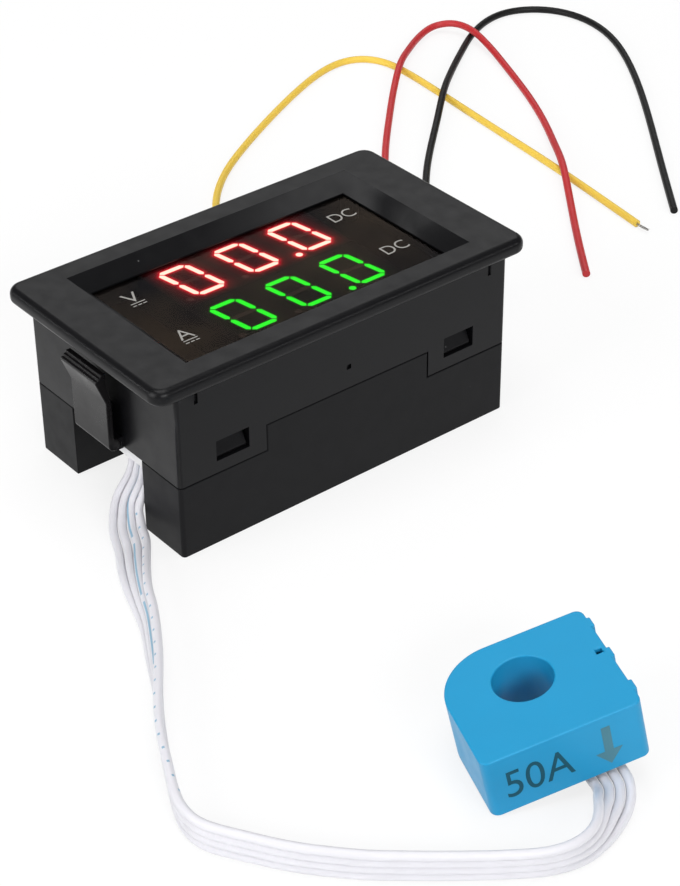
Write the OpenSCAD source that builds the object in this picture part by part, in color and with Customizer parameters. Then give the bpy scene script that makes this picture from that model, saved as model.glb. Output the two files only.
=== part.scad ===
// Snap-in digital panel meter, 85 x 48 mm, with power leads and a ring-type current sensor.
// The meter lies on its rear face: +Z looks out of the display, +X runs along the long side.
// The origin is the centre of the rear face.

/* [Front shell] */
// Length of the bezel
bezel_l = 85; // [84:0.5:90]
// Width of the bezel
bezel_w = 48; // [48:0.5:54]
// Thickness of the bezel
bezel_t = 3.1; // [2.8:0.1:4]
// Corner radius of the bezel, seen from the front
bezel_corner = 3; // [2:0.5:5]
// Rounding of the bezel's front edge
bezel_edge = 1.5; // [0.5:0.1:1.8]
// Length of the body behind the bezel
body_l = 76; // [74:0.5:78]
// Width of the body behind the bezel
body_w = 45.5; // [45.5:0.5:47]
// Corner radius of the body
body_corner = 0.8; // [0.5:0.1:1.2]
// Wall of the shell and of the rear cover
wall = 1.6; // [1.4:0.1:1.9]
// Height of the whole meter
meter_h = 37; // [37:0.5:44]

/* [Display well] */
// Length of the well at the front face
well_l = 64.8; // [63:0.1:67]
// Width of the well at the front face
well_w = 36.9; // [34:0.1:38]
// Length of the window that shows
view_l = 59; // [57:0.1:60]
// Width of the window that shows
view_w = 30.6; // [30:0.1:32]
// Thickness of the window
window_t = 0.8; // [0.6:0.1:1.2]
// How far the window reaches past its opening
window_lap = 1.4; // [1:0.1:1.8]

/* [Digits] */
// Height of a digit
digit_h = 11.4; // [10:0.1:12]
// Width of a digit
digit_w = 6.9; // [6:0.1:7.5]
// Width of one segment
segment_w = 1.1; // [0.8:0.05:1.3]
// Gap between the ends of segments
segment_gap = 0.3; // [0.1:0.05:0.5]
// Distance from digit to digit
digit_pitch = 12.6; // [11.5:0.1:13]
// Sideways lean of a digit over its height
digit_lean = 1.9; // [0:0.1:2.5]
// Diameter of the decimal point
point_d = 1.4; // [1:0.1:1.6]
// Distance between the two rows of digits
row_pitch = 15.8; // [15.4:0.1:16]
// Height of a display module
module_h = 7; // [6:0.5:8]

/* [Rear cover] */
// Height of the rear cover's walls
cover_h = 14.9; // [14:0.1:18]
// Thickness of the cover's floor
floor_t = 1.8; // [1.4:0.1:2.4]
// Width of the cable recess in each end
recess_w = 22; // [20:0.5:24]
// Depth of the cable recess from the end
recess_d = 15; // [13:0.5:17]
// Length of the raised middle of each long wall
raised_l = 37.4; // [30:0.2:40]
// Height of the raised middle above the joint
raised_h = 5.5; // [4:0.1:7]
// Distance of a snap tongue from the middle
tongue_x = 26.3; // [25:0.1:28]
// Length of a snap window
snap_l = 7.2; // [6:0.1:8]
// Height of a snap window
snap_h = 4.2; // [3.5:0.1:4.6]

/* [Spring arms] */
// Width of an arm
arm_w = 11; // [8:0.5:14]
// Thickness of an arm's blade
arm_t = 1.2; // [0.9:0.1:1.4]
// Clear space between the blade and the end wall
arm_gap = 1.8; // [1.7:0.1:2.2]
// How far the arm's hook leans out past its blade
arm_flare = 1.85; // [1:0.05:2.2]
// Space between the arm's tip and the bezel
panel_gap = 2.1; // [1.5:0.1:3]

/* [Boards] */
// Thickness of the boards
board_t = 1.6; // [1:0.1:1.8]
// Space between the main board's ends and the end walls
board_gap = 1.4; // [1.2:0.1:2]
// Space between the main board and the snap tongues
tongue_gap = 0.45; // [0.3:0.05:1]

/* [Plugs and leads] */
// Pitch of the sensor plug's contacts
plug_pitch = 1.75; // [1.7:0.05:1.9]
// Space between the sensor socket and the side of its recess
plug_gap = 0.1; // [0.1:0.1:3]
// Thickness of a plug
plug_t = 3.4; // [3:0.1:3.8]
// How far a plug hangs below the main board
plug_h = 2.5; // [2.3:0.1:3]
// Pitch of the power plug's contacts
power_pitch = 2; // [1.9:0.1:2.5]
// Diameter of a power lead
lead_d = 1.7; // [1.4:0.1:1.8]
// Diameter of a sensor core
core_d = 1.6; // [1.2:0.1:1.65]

/* [Sensor] */
// Length of the sensor case
sensor_l = 27; // [26.5:0.5:30]
// Width of the sensor case
sensor_w = 24; // [24:0.5:27]
// Height of the sensor case
sensor_h = 11.7; // [11.2:0.1:14]
// Wall of the sensor case
sensor_wall = 1; // [0.8:0.1:1.2]
// Diameter of the conductor hole
hole_d = 10; // [9:0.1:10.2]
// Radius of the case's round corner
sensor_round = 10; // [8:0.5:10.5]
// Angle at which the case leans on its wires
sensor_tilt = 12; // [10:0.5:13]

/* [Hidden] */

$fn = 48;
fit = 0.1;          // clearance between pieces that seat in each other
cut = 0.5;          // how far a cutting shape reaches past the face it opens
crumb = 0.01;

// Heights of the stack
seat_z = meter_h - bezel_t;
window_z = seat_z - window_t;
display_z = window_z - fit;
display_board_z = display_z - module_h - board_t;
inner_l = body_l - 2 * wall;
inner_w = body_w - 2 * wall;
main_z = cover_h;
main_top = main_z + board_t;
room_h = display_board_z - main_top;

// Display
window_l = view_l + 2 * window_lap;
window_w = view_w + 2 * window_lap;
well_lip = 0.3;
rail_t = 1;
module_l = 3 * digit_pitch + 1.2;
module_w = row_pitch - fit;
module_shift = [1.2, 1.2];
segment_depth = 0.6;
ALL_SEGMENTS = ["a", "b", "c", "d", "e", "f", "g"];
ZERO_SEGMENTS = ["a", "b", "c", "d", "e", "f"];
point_offset = [-4.3, -5.5];

// Snap tongues and windows
snap_z = cover_h + 2.7;
tongue_clear = fit;
tongue_t = 1.2;
tongue_l = snap_l - 0.8;
tongue_h = 7.3;
tongue_root = 5;
joint_t = 0.25;
joint_depth = 0.35;
raised_gap = 0.2;
mark_x = 33.7;
mark_depth = 0.5;
dimple_z = 25;
nose_h = 3.1;
nose_out = 1.15;

// Spring arms
root_r = 1.2;
root_clear = 0.05;
root_x = body_l / 2 + arm_gap;
root_z = cover_h + fit + root_r;
arm_top = seat_z - panel_gap;
hook_h = 1.5;
flare_h = 4.8;
step_in = 0.55;
cradle_h = 2.4;

// Boards and their posts
post_r = 1.8;
post_x = inner_l / 2 - 2.8;
post_y = inner_w / 2 - 2.8;
boss_x = 15.5;
boss_y = 14.5;
boss_r = 2.2;
screw_r = 0.8;
screw_head_r = 1.6;
screw_head_h = 1.1;
screw_clear = 0.05;
board_screw_l = board_t + 6.5;
display_screw_l = board_t + 4.5;
screw_spare = 1;
board_hole_r = 1;
main_board_l = inner_l - 2 * board_gap;
main_board_w = inner_w - 2 * (tongue_clear + tongue_t + tongue_gap);
display_board_l = inner_l - 0.8;
display_board_w = inner_w - 1.2;

// Parts on the boards
driver_size = [10, 4, 1.5];
driver_y = 8;
chip_size = [10, 10, 1.4];
chip_at = [-9.5, 1];
chip_leg = 1.2;
regulator_size = [6.6, 6.1, 2.3];
regulator_at = [9.3, -4.95];
capacitor_x = main_board_l / 2 - 11;
capacitor_d = 6;
capacitor_h = room_h - 2.5;
trimmer_x = main_board_l / 2 - 10;
trimmer_size = [6.4, 4.6, room_h - 3.3];
trimmer_pitch = 9;
resistor_size = [1.2, 2, 0.5];

// Header between the boards
header_pins = 8;
header_pitch = 2.54;
header_y = -17;
pin_t = 0.64;
header_block_h = 2.5;

// Sockets and plugs in the cable recesses
socket_wall = 0.35;
socket_base = 0.5;
socket_h = 2;
socket_inset = 0.5;
plug_side = 0.85;
contact_t = 0.5;
sensor_ways = 4;
power_ways = 3;
socket_rim = socket_wall + fit;
plug_x = body_l / 2 - socket_inset - socket_rim - plug_t / 2;
plug_y = plug_gap + (sensor_ways - 1) * plug_pitch / 2 + plug_side + socket_rim - recess_w / 2;
plug_top = main_z - socket_base - fit;
exit_z = main_z - plug_h;

// Sensor
sensor_place = [-39.7, -106.7, 0];
sensor_turn = -20.3;
hole_at = [12.8, 14.2];
tube_t = 1.1;
ring_clear = 0.3;
ring_t = 2.2;
ring_z = 3.4;
ring_h = 6.6;
gap_w = 1.7;
hall_top = 5;
hall_board_x = 15;
base_t = 1.2;
sensor_board_z = 1.7;
sensor_board_t = 1.2;
pin_row_x = 19.4;
pin_row_y = 4;
wire_pitch = core_d + 0.1;
sensor_pin_t = 1;
tail_z = -1.6;
tail_y = 2;
rib_places = [4.3, 12.6, 20.4];

// Cords: points along each route, chosen by hand
cord_sides = 8;
smooth_steps = 3;
lead_z = lead_d / 2;
twist_guard = 0.001;

// Routes of the power leads: x, y and height of the centre
yellow_route = [
  [plug_x, power_pitch, exit_z], [plug_x, power_pitch, exit_z - 1],
  [36.4, 2.1, 8.2], [39.8, 2.5, 4.4], [44.6, 3.8, 1.9], [49.2, 6.8, lead_z], [52.8, 11, lead_z],
  [54, 16, lead_z], [52, 25, lead_z], [46, 36, lead_z], [40, 47, lead_z], [36.5, 58, lead_z],
  [37, 68, lead_z], [43, 78, lead_z], [51, 86, lead_z], [59, 92, lead_z], [74, 101, lead_z],
  [91, 110, lead_z], [104, 115.5, lead_z], [113, 116, lead_z], [118, 111, lead_z], [119, 103, lead_z],
  [117.5, 87, lead_z], [115, 65, lead_z], [113, 43, lead_z], [110.5, 25, lead_z], [108.5, 11, lead_z]];
strand_route = [[108.5, 11, lead_z], [108.3, 9.6, lead_z], [108.4, 7.5, lead_z]];
red_route = [
  [plug_x, 0, exit_z], [plug_x, 0, exit_z - 1],
  [36.4, 0.1, 8.2], [40, 0.4, 4.4], [45.4, 1.4, 1.9], [51.4, 3.6, lead_z], [56.4, 7.6, lead_z],
  [60, 14, lead_z], [62, 26, lead_z], [66, 40, lead_z], [73, 54, lead_z], [86.5, 71, lead_z],
  [96, 81, 1], [103.5, 89, 1], [111, 96.5, 1.6], [118.2, 103, 2.7], [127, 109.8, 1.8], [135, 114.8, 1.4],
  [140.8, 116, 1.9], [144.6, 112, 2.6], [144.6, 105.5, 2.7], [142.6, 97, 1.9], [139.5, 87.5, 1],
  [130.5, 66.5, lead_z], [121.5, 52, 1.4], [112.6, 39, 2.7], [106, 30, 1.4], [99, 21, lead_z],
  [92, 12, lead_z], [85, 2.5, lead_z]];
black_route = [
  [plug_x, -power_pitch, exit_z], [plug_x, -power_pitch, exit_z - 1],
  [36.4, -2, 8.2], [40.2, -1.9, 4.4], [46, -1.4, 1.9], [52.6, -0.2, lead_z],
  [58.6, 2.8, lead_z], [64, 9, lead_z], [68, 20, lead_z], [71, 32, lead_z], [77, 45, lead_z],
  [87, 57, lead_z], [96, 66, 1], [106, 75, 1.6], [116.3, 84.6, 2.7], [127, 93.8, 1.6], [136.5, 101, 0.9],
  [145, 107, lead_z], [153.5, 111, lead_z],
  [161.5, 112, lead_z], [169, 108, lead_z], [174, 100, lead_z], [173.5, 87, lead_z], [166, 72, lead_z],
  [153.5, 54, lead_z], [138.5, 35, lead_z], [127.5, 21, lead_z], [119, 10, lead_z]];

// Route of the ribbon: x, y and height of its middle, direction and lean of its width, spread of its cores.
// The cores lie side by side at lean 0 and stand on each other at lean 90.
ribbon_route = [
  [-plug_x, plug_y, exit_z, -90, 0, 1.03], [-plug_x, plug_y, exit_z - 1, -90, 0, 1.03],
  [-36.4, -7.1, 8.2, -88, 0, 1.03], [-39.3, -7.6, 4.6, -76, 2, 1.05], [-42, -11.1, 2.4, -51, 14, 1.09],
  [-44.3, -16, 1.9, -33, 22, 1.05], [-47, -20.4, 2.1, -30, 30, 1.02], [-49.8, -25.4, 2.7, -27, 46, 1],
  [-52.4, -30.8, 3.1, -25, 64, 1], [-54.8, -36.2, 3.2, -27, 70, 1], [-58.8, -43.3, 3.25, -30, 74, 1],
  [-62.8, -50.1, 3.35, -32, 84, 1], [-67.1, -56.5, 3.35, -32, 92, 1], [-71, -63, 3.35, -29, 96, 1],
  [-74.4, -69.6, 3.35, -27, 95, 1], [-77.1, -75.1, 3.35, -22, 95, 1], [-78.5, -79.6, 3.35, -6, 96, 1],
  [-78.1, -84.2, 3.35, 20, 97, 1], [-74.5, -90.5, 3.35, 32, 98, 1], [-70, -97, 3.3, 39, 99, 1],
  [-64, -103.7, 3.3, 44, 100, 1], [-59.3, -107.9, 3.3, 49, 101, 1], [-53.8, -112.5, 3.3, 51, 101, 1],
  [-48, -117, 3.3, 54, 102, 1], [-42.6, -120.7, 3.3, 61, 101, 1], [-38.5, -122.3, 3.35, 77, 97, 1],
  [-34.7, -122.5, 3.35, 96, 88, 1.01], [-31.3, -121.5, 3.2, 114, 74, 1.02],
  [-27.8, -119.6, 3, 127, 50, 1.04], [-24.4, -117.3, 2.6, 142, 18, 1.04], [-22.1, -114.8, 2.45, 157, -7, 1.02],
  [-20.93, -111.59, 2.48, 160, -12, 1.02]];

// ---------- shared shapes ----------

// Straight-sided block between two corners
module block(low, high) {
  translate(low) cube(high - low);
}

// Flat rectangle with round corners
module round_rect(l, w, r) {
  square([l - 2 * r, w], center = true);
  square([l, w - 2 * r], center = true);
  for (x = [-1, 1], y = [-1, 1])
    translate([x * (l / 2 - r), y * (w / 2 - r)]) circle(r);
}

// Upright plate with round corners
module plate(l, w, h, r) {
  linear_extrude(h) round_rect(l, w, r);
}

// Half section of a plate whose upper edge is rounded
module edge_half(half, h, edge) {
  square([half - edge, h]);
  square([half, h - edge]);
  translate([half - edge, h - edge]) circle(edge);
}

// Full section of the same plate
module edge_section(l, h, edge) {
  edge_half(l / 2, h, edge);
  mirror([1, 0]) edge_half(l / 2, h, edge);
}

// Plate with round corners and a rounded upper edge
module soft_plate(l, w, h, corner, edge) {
  rotate([90, 0, 0])
    linear_extrude(w - 2 * corner, center = true) edge_section(l, h, edge);
  rotate([90, 0, 90])
    linear_extrude(l - 2 * corner, center = true) edge_section(w, h, edge);
  for (x = [-1, 1], y = [-1, 1])
    translate([x * (l / 2 - corner), y * (w / 2 - corner), 0])
      rotate_extrude() edge_half(corner, h, edge);
}

// Frustum with four sloped sides, made of two crossed trapezoids
module sloped_block(l0, w0, l1, w1, h) {
  intersection() {
    rotate([90, 0, 0]) linear_extrude(w1 + w0, center = true)
      polygon([[-l0 / 2, 0], [l0 / 2, 0], [l1 / 2, h], [-l1 / 2, h]]);
    rotate([90, 0, 90]) linear_extrude(l1 + l0, center = true)
      polygon([[-w0 / 2, 0], [w0 / 2, 0], [w1 / 2, h], [-w1 / 2, h]]);
  }
}

// Small screw with its head at z = 0 and its shank along +Z
module screw(shank) {
  translate([0, 0, -screw_head_h]) cylinder(r = screw_head_r, h = screw_head_h);
  cylinder(r = screw_r, h = shank);
}

// ---------- cord functions ----------

// Place on the curve from b to c, with its neighbours a and d
function spline(a, b, c, d, t) =
  0.5 * (2 * b + (c - a) * t + (2 * a - 5 * b + 4 * c - d) * t * t + (3 * b - a - 3 * c + d) * t * t * t);

// Smooth curve through the points of a route, whose first stretch stays straight
function smooth(p, steps) = let (n = len(p)) [
  p[0],
  for (i = [1 : n - 2], s = [0 : steps - 1])
    spline(p[i - 1], p[i], p[i + 1], p[min(i + 2, n - 1)], s / steps),
  p[n - 1]];

// The same path with nothing below the height of a cord that lies on the table
function settled(path, r) = [for (p = path) [p[0], p[1], max(p[2], r)]];

function unit(v) = v / norm(v);

function heading(p, i) = unit(p[min(i + 1, len(p) - 1)] - p[max(i - 1, 0)]);

// Ring of points round one place of a path
function ring(p, i, r, sides) = let (
    t = heading(p, i),
    side = unit(cross(t, [0, 0, 1]) - twist_guard * [0, sign(p[i][0]), 0]),
    up = cross(side, t)) [
  for (k = [0 : sides - 1]) let (a = 360 * (k + 0.5) / sides)
    p[i] + r * (cos(a) * side + sin(a) * up)];

// Round tube swept along a path
module tube(p, d, sides) {
  n = len(p);
  points = [for (i = [0 : n - 1]) each ring(p, i, d / 2, sides)];
  walls = [for (i = [0 : n - 2], k = [0 : sides - 1])
    let (a = i * sides + k, b = i * sides + (k + 1) % sides)
      each [[a, b, b + sides], [a, b + sides, a + sides]]];
  caps = [[for (k = [sides - 1 : -1 : 0]) k], [for (k = [0 : sides - 1]) (n - 1) * sides + k]];
  polyhedron(points = points, faces = concat(walls, caps), convexity = 6);
}

// Direction of the ribbon's width at one point of its route
function ribbon_width(p) =
  [cos(p[4]) * cos(p[3]), cos(p[4]) * sin(p[3]), sin(p[4])];

// Path of one core: the ribbon's middle, moved along the ribbon's leaning width
function core_path(route, shift) = [
  for (p = smooth(route, smooth_steps)) [p[0], p[1], p[2]] + shift * p[5] * ribbon_width(p)];

// ---------- digits ----------

// Corner points of one bar that lies along X, with pointed ends
function bar_points(l, t) = [
  [-l / 2, 0], [-l / 2 + t / 2, t / 2], [l / 2 - t / 2, t / 2],
  [l / 2, 0], [l / 2 - t / 2, -t / 2], [-l / 2 + t / 2, -t / 2]];

function turned(points) = [for (p = points) [-p[1], p[0]]];

function moved(points, by) = [for (p = points) p + by];

function leaned(points) = [for (p = points) [p[0] - p[1] * digit_lean / digit_h, p[1]]];

// Outline of one named segment of a digit whose centre is the origin
function segment(name, grow) = let (
    across = digit_w - segment_w,
    down = (digit_h - segment_w) / 2,
    t = segment_w + 2 * grow,
    bar = bar_points(across - segment_gap + 2 * grow, t),
    post = turned(bar_points(down - segment_gap + 2 * grow, t)))
  leaned(
    name == "a" ? moved(bar, [0, down]) :
    name == "d" ? moved(bar, [0, -down]) :
    name == "g" ? bar :
    name == "b" ? moved(post, [across / 2, down / 2]) :
    name == "c" ? moved(post, [across / 2, -down / 2]) :
    name == "e" ? moved(post, [-across / 2, -down / 2]) :
    moved(post, [-across / 2, down / 2]));

module digit(names, grow) {
  for (name = names) polygon(segment(name, grow));
}

module point(grow) {
  translate(point_offset) circle(point_d / 2 + grow, $fn = 24);
}

// Place for each of the three digits of one row
module at_digits(places) {
  for (i = places) translate([i * digit_pitch, 0, 0]) children();
}

// Frame of one row: +1 is the upper row, -1 the lower
module row(side) {
  translate([module_shift[0], module_shift[1] + side * row_pitch / 2, 0]) children();
}

module display_block(side) {
  row(side) difference() {
    block([-module_l / 2, -module_w / 2, display_z - module_h], [module_l / 2, module_w / 2, display_z]);
    translate([0, 0, display_z - segment_depth]) linear_extrude(segment_depth + cut)
      at_digits([-1 : 1]) {
        digit(ALL_SEGMENTS, fit / 2);
        point(fit / 2);
      }
  }
}

// Segments that show zeros, with the decimal point before the last digit
module lit_segments(side) {
  row(side) translate([0, 0, display_z - segment_depth]) linear_extrude(segment_depth) {
    at_digits([-1 : 1]) digit(ZERO_SEGMENTS, 0);
    at_digits([1]) point(0);
  }
}

// The middle bars and the other two points, which stay dark
module dark_segments(side) {
  row(side) translate([0, 0, display_z - segment_depth]) linear_extrude(segment_depth) {
    at_digits([-1 : 1]) digit(["g"], 0);
    at_digits([-1 : 0]) point(0);
  }
}

// ---------- meter housing ----------

// Places of the four snap windows, each frame looking out along +Y
module at_snaps() {
  for (side = [0, 180], x = [-1, 1])
    rotate([0, 0, side]) translate([x * tongue_x, 0, 0]) children();
}

module at_posts(x, y) {
  for (i = [-1, 1], j = [-1, 1]) translate([i * x, j * y, 0]) children();
}

// Round root and cradle lie on this line, for the right-hand arm
module at_root() {
  translate([root_x, 0, root_z]) rotate([90, 0, 0]) children();
}

// Short ledge on the end wall, hollowed for the arm's round root
module cradle() {
  difference() {
    block([body_l / 2 - crumb, -arm_w / 2, cover_h], [root_x - 0.3, arm_w / 2, cover_h + cradle_h]);
    at_root() cylinder(r = root_r + root_clear, h = arm_w + 2 * cut, center = true);
  }
}

module well() {
  translate([0, 0, seat_z - cut]) linear_extrude(cut + well_lip + crumb)
    square([view_l, view_w], center = true);
  translate([0, 0, seat_z + well_lip])
    sloped_block(view_l, view_w, well_l, well_w, bezel_t - well_lip);
  translate([0, 0, meter_h - crumb]) linear_extrude(cut) square([well_l, well_w], center = true);
}

// Rails round the window that keep it square behind its opening
module window_rails() {
  translate([0, 0, window_z]) linear_extrude(window_t + crumb) difference() {
    square([window_l + 2 * fit + 2 * rail_t, window_w + 2 * fit + 2 * rail_t], center = true);
    square([window_l + 2 * fit, window_w + 2 * fit], center = true);
  }
}

// Small slots under the bezel near the ends of the long walls, and a dimple at their middle
module shell_marks() {
  for (side = [0, 180]) rotate([0, 0, side]) {
    for (x = [-mark_x, mark_x])
      block([x - 0.4, body_w / 2 - mark_depth, seat_z - 2.6], [x + 0.4, body_w / 2 + cut, seat_z - 0.4]);
    block([-0.5, body_w / 2 - mark_depth, dimple_z - 0.5], [0.5, body_w / 2 + cut, dimple_z + 0.5]);
  }
}

module front_shell() {
  color([0.16, 0.16, 0.17]) {
    difference() {
      union() {
        translate([0, 0, cover_h])
          plate(body_l - 2 * joint_depth, body_w - 2 * joint_depth, joint_t + crumb, body_corner);
        translate([0, 0, cover_h + joint_t])
          plate(body_l, body_w, seat_z - cover_h - joint_t + crumb, body_corner);
        translate([0, 0, seat_z]) soft_plate(bezel_l, bezel_w, bezel_t, bezel_corner, bezel_edge);
        cradle();
        mirror([1, 0, 0]) cradle();
      }
      translate([0, 0, cover_h - cut]) linear_extrude(seat_z - cover_h + cut)
        square([inner_l, inner_w], center = true);
      well();
      at_snaps()
        block([-snap_l / 2, inner_w / 2 - cut, snap_z], [snap_l / 2, body_w / 2 + cut, snap_z + snap_h]);
      block([-raised_l / 2 - raised_gap, -body_w / 2 - cut, cover_h - cut],
            [raised_l / 2 + raised_gap, body_w / 2 + cut, cover_h + raised_h + raised_gap]);
      shell_marks();
    }
    window_rails();
    at_posts(post_x, post_y) translate([0, 0, display_board_z]) difference() {
      translate([0, 0, board_t]) cylinder(r = post_r, h = seat_z - display_board_z - board_t + crumb);
      cylinder(r = screw_r + screw_clear, h = display_screw_l + screw_spare);
    }
  }
}

// Tongue with a wedge nose that catches in a snap window
module tongue() {
  out = inner_w / 2 - tongue_clear;
  translate([-tongue_l / 2, 0, 0]) rotate([90, 0, 90]) linear_extrude(tongue_l) polygon([
    [out - tongue_t, cover_h - tongue_root],
    [inner_w / 2 + crumb, cover_h - tongue_root],
    [inner_w / 2 + crumb, cover_h],
    [out, cover_h],
    [out, snap_z + 0.3],
    [out + nose_out, snap_z + 0.3],
    [out + nose_out, snap_z + 0.9],
    [out, snap_z + nose_h],
    [out, cover_h + tongue_h - 0.6],
    [out - 0.4, cover_h + tongue_h],
    [out - tongue_t, cover_h + tongue_h]]);
}

module rear_cover() {
  recess_wall_d = recess_d + wall;
  color([0.14, 0.14, 0.15]) difference() {
    union() {
      difference() {
        plate(body_l, body_w, cover_h, body_corner);
        translate([0, 0, floor_t]) linear_extrude(cover_h) square([inner_l, inner_w], center = true);
      }
      for (side = [-1, 1])
        translate([side * (body_l - recess_wall_d) / 2, 0, 0]) linear_extrude(cover_h)
          square([recess_wall_d, recess_w + 2 * wall], center = true);
      intersection() {
        plate(body_l, body_w, cover_h + raised_h, body_corner);
        for (side = [-1, 1])
          block([-raised_l / 2, side * (body_w - wall) / 2 - wall / 2, crumb],
                [raised_l / 2, side * (body_w - wall) / 2 + wall / 2, cover_h + raised_h]);
      }
      at_snaps() tongue();
      at_posts(boss_x, boss_y) cylinder(r = boss_r, h = cover_h);
    }
    for (side = [-1, 1])
      translate([side * body_l / 2, 0, -cut]) linear_extrude(cover_h + 2 * cut)
        square([2 * recess_d, recess_w], center = true);
    at_posts(boss_x, boss_y) translate([0, 0, main_top - board_screw_l - screw_spare])
      cylinder(r = screw_r + screw_clear, h = board_screw_l);
  }
}

module filter_window() {
  color([0.13, 0.09, 0.09, 0.6]) translate([0, 0, window_z]) linear_extrude(window_t)
    square([window_l, window_w], center = true);
}

// Moulded arm: round root, upright blade, leaning hook with two steps
module spring_arm() {
  blade_in = root_x;
  blade_out = root_x + arm_t;
  tip = blade_out + arm_flare;
  rotate([90, 0, 0]) linear_extrude(arm_w, center = true) {
    translate([root_x, root_z]) circle(root_r);
    polygon([
      [blade_in, root_z], [blade_out, root_z], [blade_out, arm_top - hook_h - flare_h],
      [tip, arm_top - hook_h], [tip - 0.1, arm_top - 2 * hook_h / 3],
      [tip - step_in, arm_top - 2 * hook_h / 3], [tip - step_in - 0.1, arm_top - hook_h / 3],
      [tip - 2 * step_in, arm_top - hook_h / 3], [tip - 2 * step_in - 0.1, arm_top],
      [tip - 2.2, arm_top], [tip - 2.2, arm_top - hook_h - 0.8],
      [blade_in, arm_top - hook_h - flare_h - 0.3]]);
  }
}

module right_spring_arm() {
  color([0.22, 0.22, 0.23]) spring_arm();
}

module left_spring_arm() {
  color([0.22, 0.22, 0.23]) mirror([1, 0, 0]) spring_arm();
}

// ---------- display ----------

module voltage_display() {
  color([0.08, 0.08, 0.08]) display_block(1);
}

module current_display() {
  color([0.08, 0.08, 0.08]) display_block(-1);
}

module voltage_segments() {
  color([1, 0.25, 0.2]) lit_segments(1);
}

module current_segments() {
  color([0.2, 0.95, 0.25]) lit_segments(-1);
}

module voltage_dark_segments() {
  color([0.25, 0.1, 0.1]) dark_segments(1);
}

module current_dark_segments() {
  color([0.1, 0.22, 0.1]) dark_segments(-1);
}

module display_board() {
  color([0.05, 0.3, 0.16]) translate([0, 0, display_board_z]) linear_extrude(board_t) difference() {
    square([display_board_l, display_board_w], center = true);
    at_posts(post_x, post_y) circle(board_hole_r);
  }
}

module display_screws() {
  color("silver") at_posts(post_x, post_y) translate([0, 0, display_board_z]) screw(display_screw_l);
}

// Block of a given size that stands centred on a place
module part_at(place, size) {
  translate([place[0], place[1], place[2] + size[2] / 2]) cube(size, center = true);
}

module display_driver() {
  color([0.1, 0.1, 0.1]) part_at([0, driver_y, display_board_z - driver_size[2]], driver_size);
}

// ---------- main board ----------

module main_board() {
  color([0.05, 0.3, 0.16]) translate([0, 0, main_z]) linear_extrude(board_t) difference() {
    square([main_board_l, main_board_w], center = true);
    at_posts(boss_x, boss_y) circle(board_hole_r);
  }
}

module board_screws() {
  color("silver") at_posts(boss_x, boss_y) translate([0, 0, main_top]) mirror([0, 0, 1])
    screw(board_screw_l);
}

module at_header_pins() {
  for (i = [0 : header_pins - 1])
    translate([(i - (header_pins - 1) / 2) * header_pitch, header_y, 0]) children();
}

module board_header() {
  color([0.1, 0.1, 0.1]) translate([0, 0, main_top]) linear_extrude(header_block_h) difference() {
    translate([0, header_y]) square([header_pins * header_pitch, header_pitch], center = true);
    at_header_pins() square(pin_t + fit, center = true);
  }
}

module board_pins() {
  color("gold") at_header_pins() translate([0, 0, main_top])
    linear_extrude(display_board_z - main_top) square(pin_t, center = true);
}

module microcontroller() {
  color([0.1, 0.1, 0.1]) {
    part_at([chip_at[0], chip_at[1], main_top + 0.2], chip_size);
    for (i = [-3.5 : 3.5])
      part_at([chip_at[0] + i * 1.2, chip_at[1], main_top], [0.5, chip_size[1] + 2 * chip_leg, 0.3]);
  }
}

module voltage_regulator() {
  color([0.12, 0.12, 0.12]) part_at([regulator_at[0], regulator_at[1], main_top], regulator_size);
}

module capacitors() {
  color([0.2, 0.22, 0.5]) for (y = [-6, 2])
    translate([capacitor_x, y, main_top]) cylinder(d = capacitor_d, h = capacitor_h);
}

module trimmers() {
  color([0.15, 0.35, 0.75]) for (i = [-1 : 1]) difference() {
    part_at([-trimmer_x, i * trimmer_pitch, main_top], trimmer_size);
    translate([-trimmer_x + trimmer_size[0] / 4, i * trimmer_pitch, main_top + trimmer_size[2] - 0.7])
      cylinder(d = 2, h = 1);
  }
}

module resistors() {
  color([0.15, 0.15, 0.15]) for (i = [0 : 5], j = [0, 1])
    part_at([3 + i * 2 * resistor_size[0], 6 + j * 1.7 * resistor_size[1], main_top], resistor_size);
}

// ---------- sockets and plugs ----------

function plug_w(ways, pitch) = (ways - 1) * pitch + 2 * plug_side;

// Socket under the main board whose mouth looks along -X
// Place of each contact, under the main board near the left-hand end
module at_contacts(ways, pitch) {
  for (i = [0 : ways - 1]) translate([-plug_x, (i - (ways - 1) / 2) * pitch, 0]) children();
}

// Upright block round the plug's middle, grown sideways
module plug_block(ways, pitch, grow, low, high) {
  w = plug_w(ways, pitch) + 2 * grow;
  t = plug_t + 2 * grow;
  block([-plug_x - t / 2, -w / 2, low], [-plug_x + t / 2, w / 2, high]);
}

module contact(t, low, high) {
  block([-t / 2, -t / 2, low], [t / 2, t / 2, high]);
}

module socket(ways, pitch) {
  difference() {
    plug_block(ways, pitch, socket_rim, main_z - socket_h, main_z);
    plug_block(ways, pitch, fit, main_z - socket_h - cut, plug_top + fit);
    at_contacts(ways, pitch) contact(contact_t + fit, plug_top, main_z + cut);
  }
}

module socket_pins(ways, pitch) {
  at_contacts(ways, pitch) contact(contact_t, exit_z + 0.9, main_z);
}

module plug(ways, pitch) {
  difference() {
    plug_block(ways, pitch, 0, exit_z, plug_top);
    at_contacts(ways, pitch) contact(contact_t + fit, exit_z + 0.7, plug_top + cut);
    for (y = [-1, 1]) translate([-plug_x - plug_t / 2, y * (plug_w(ways, pitch) / 2 - 1.2), 0])
      block([-cut, -0.3, exit_z - cut], [0.3, 0.3, exit_z + 0.8]);
  }
}

module sensor_header() {
  color("ivory") translate([0, plug_y, 0]) socket(sensor_ways, plug_pitch);
}

module sensor_header_pins() {
  color("gold") translate([0, plug_y, 0]) socket_pins(sensor_ways, plug_pitch);
}

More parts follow.
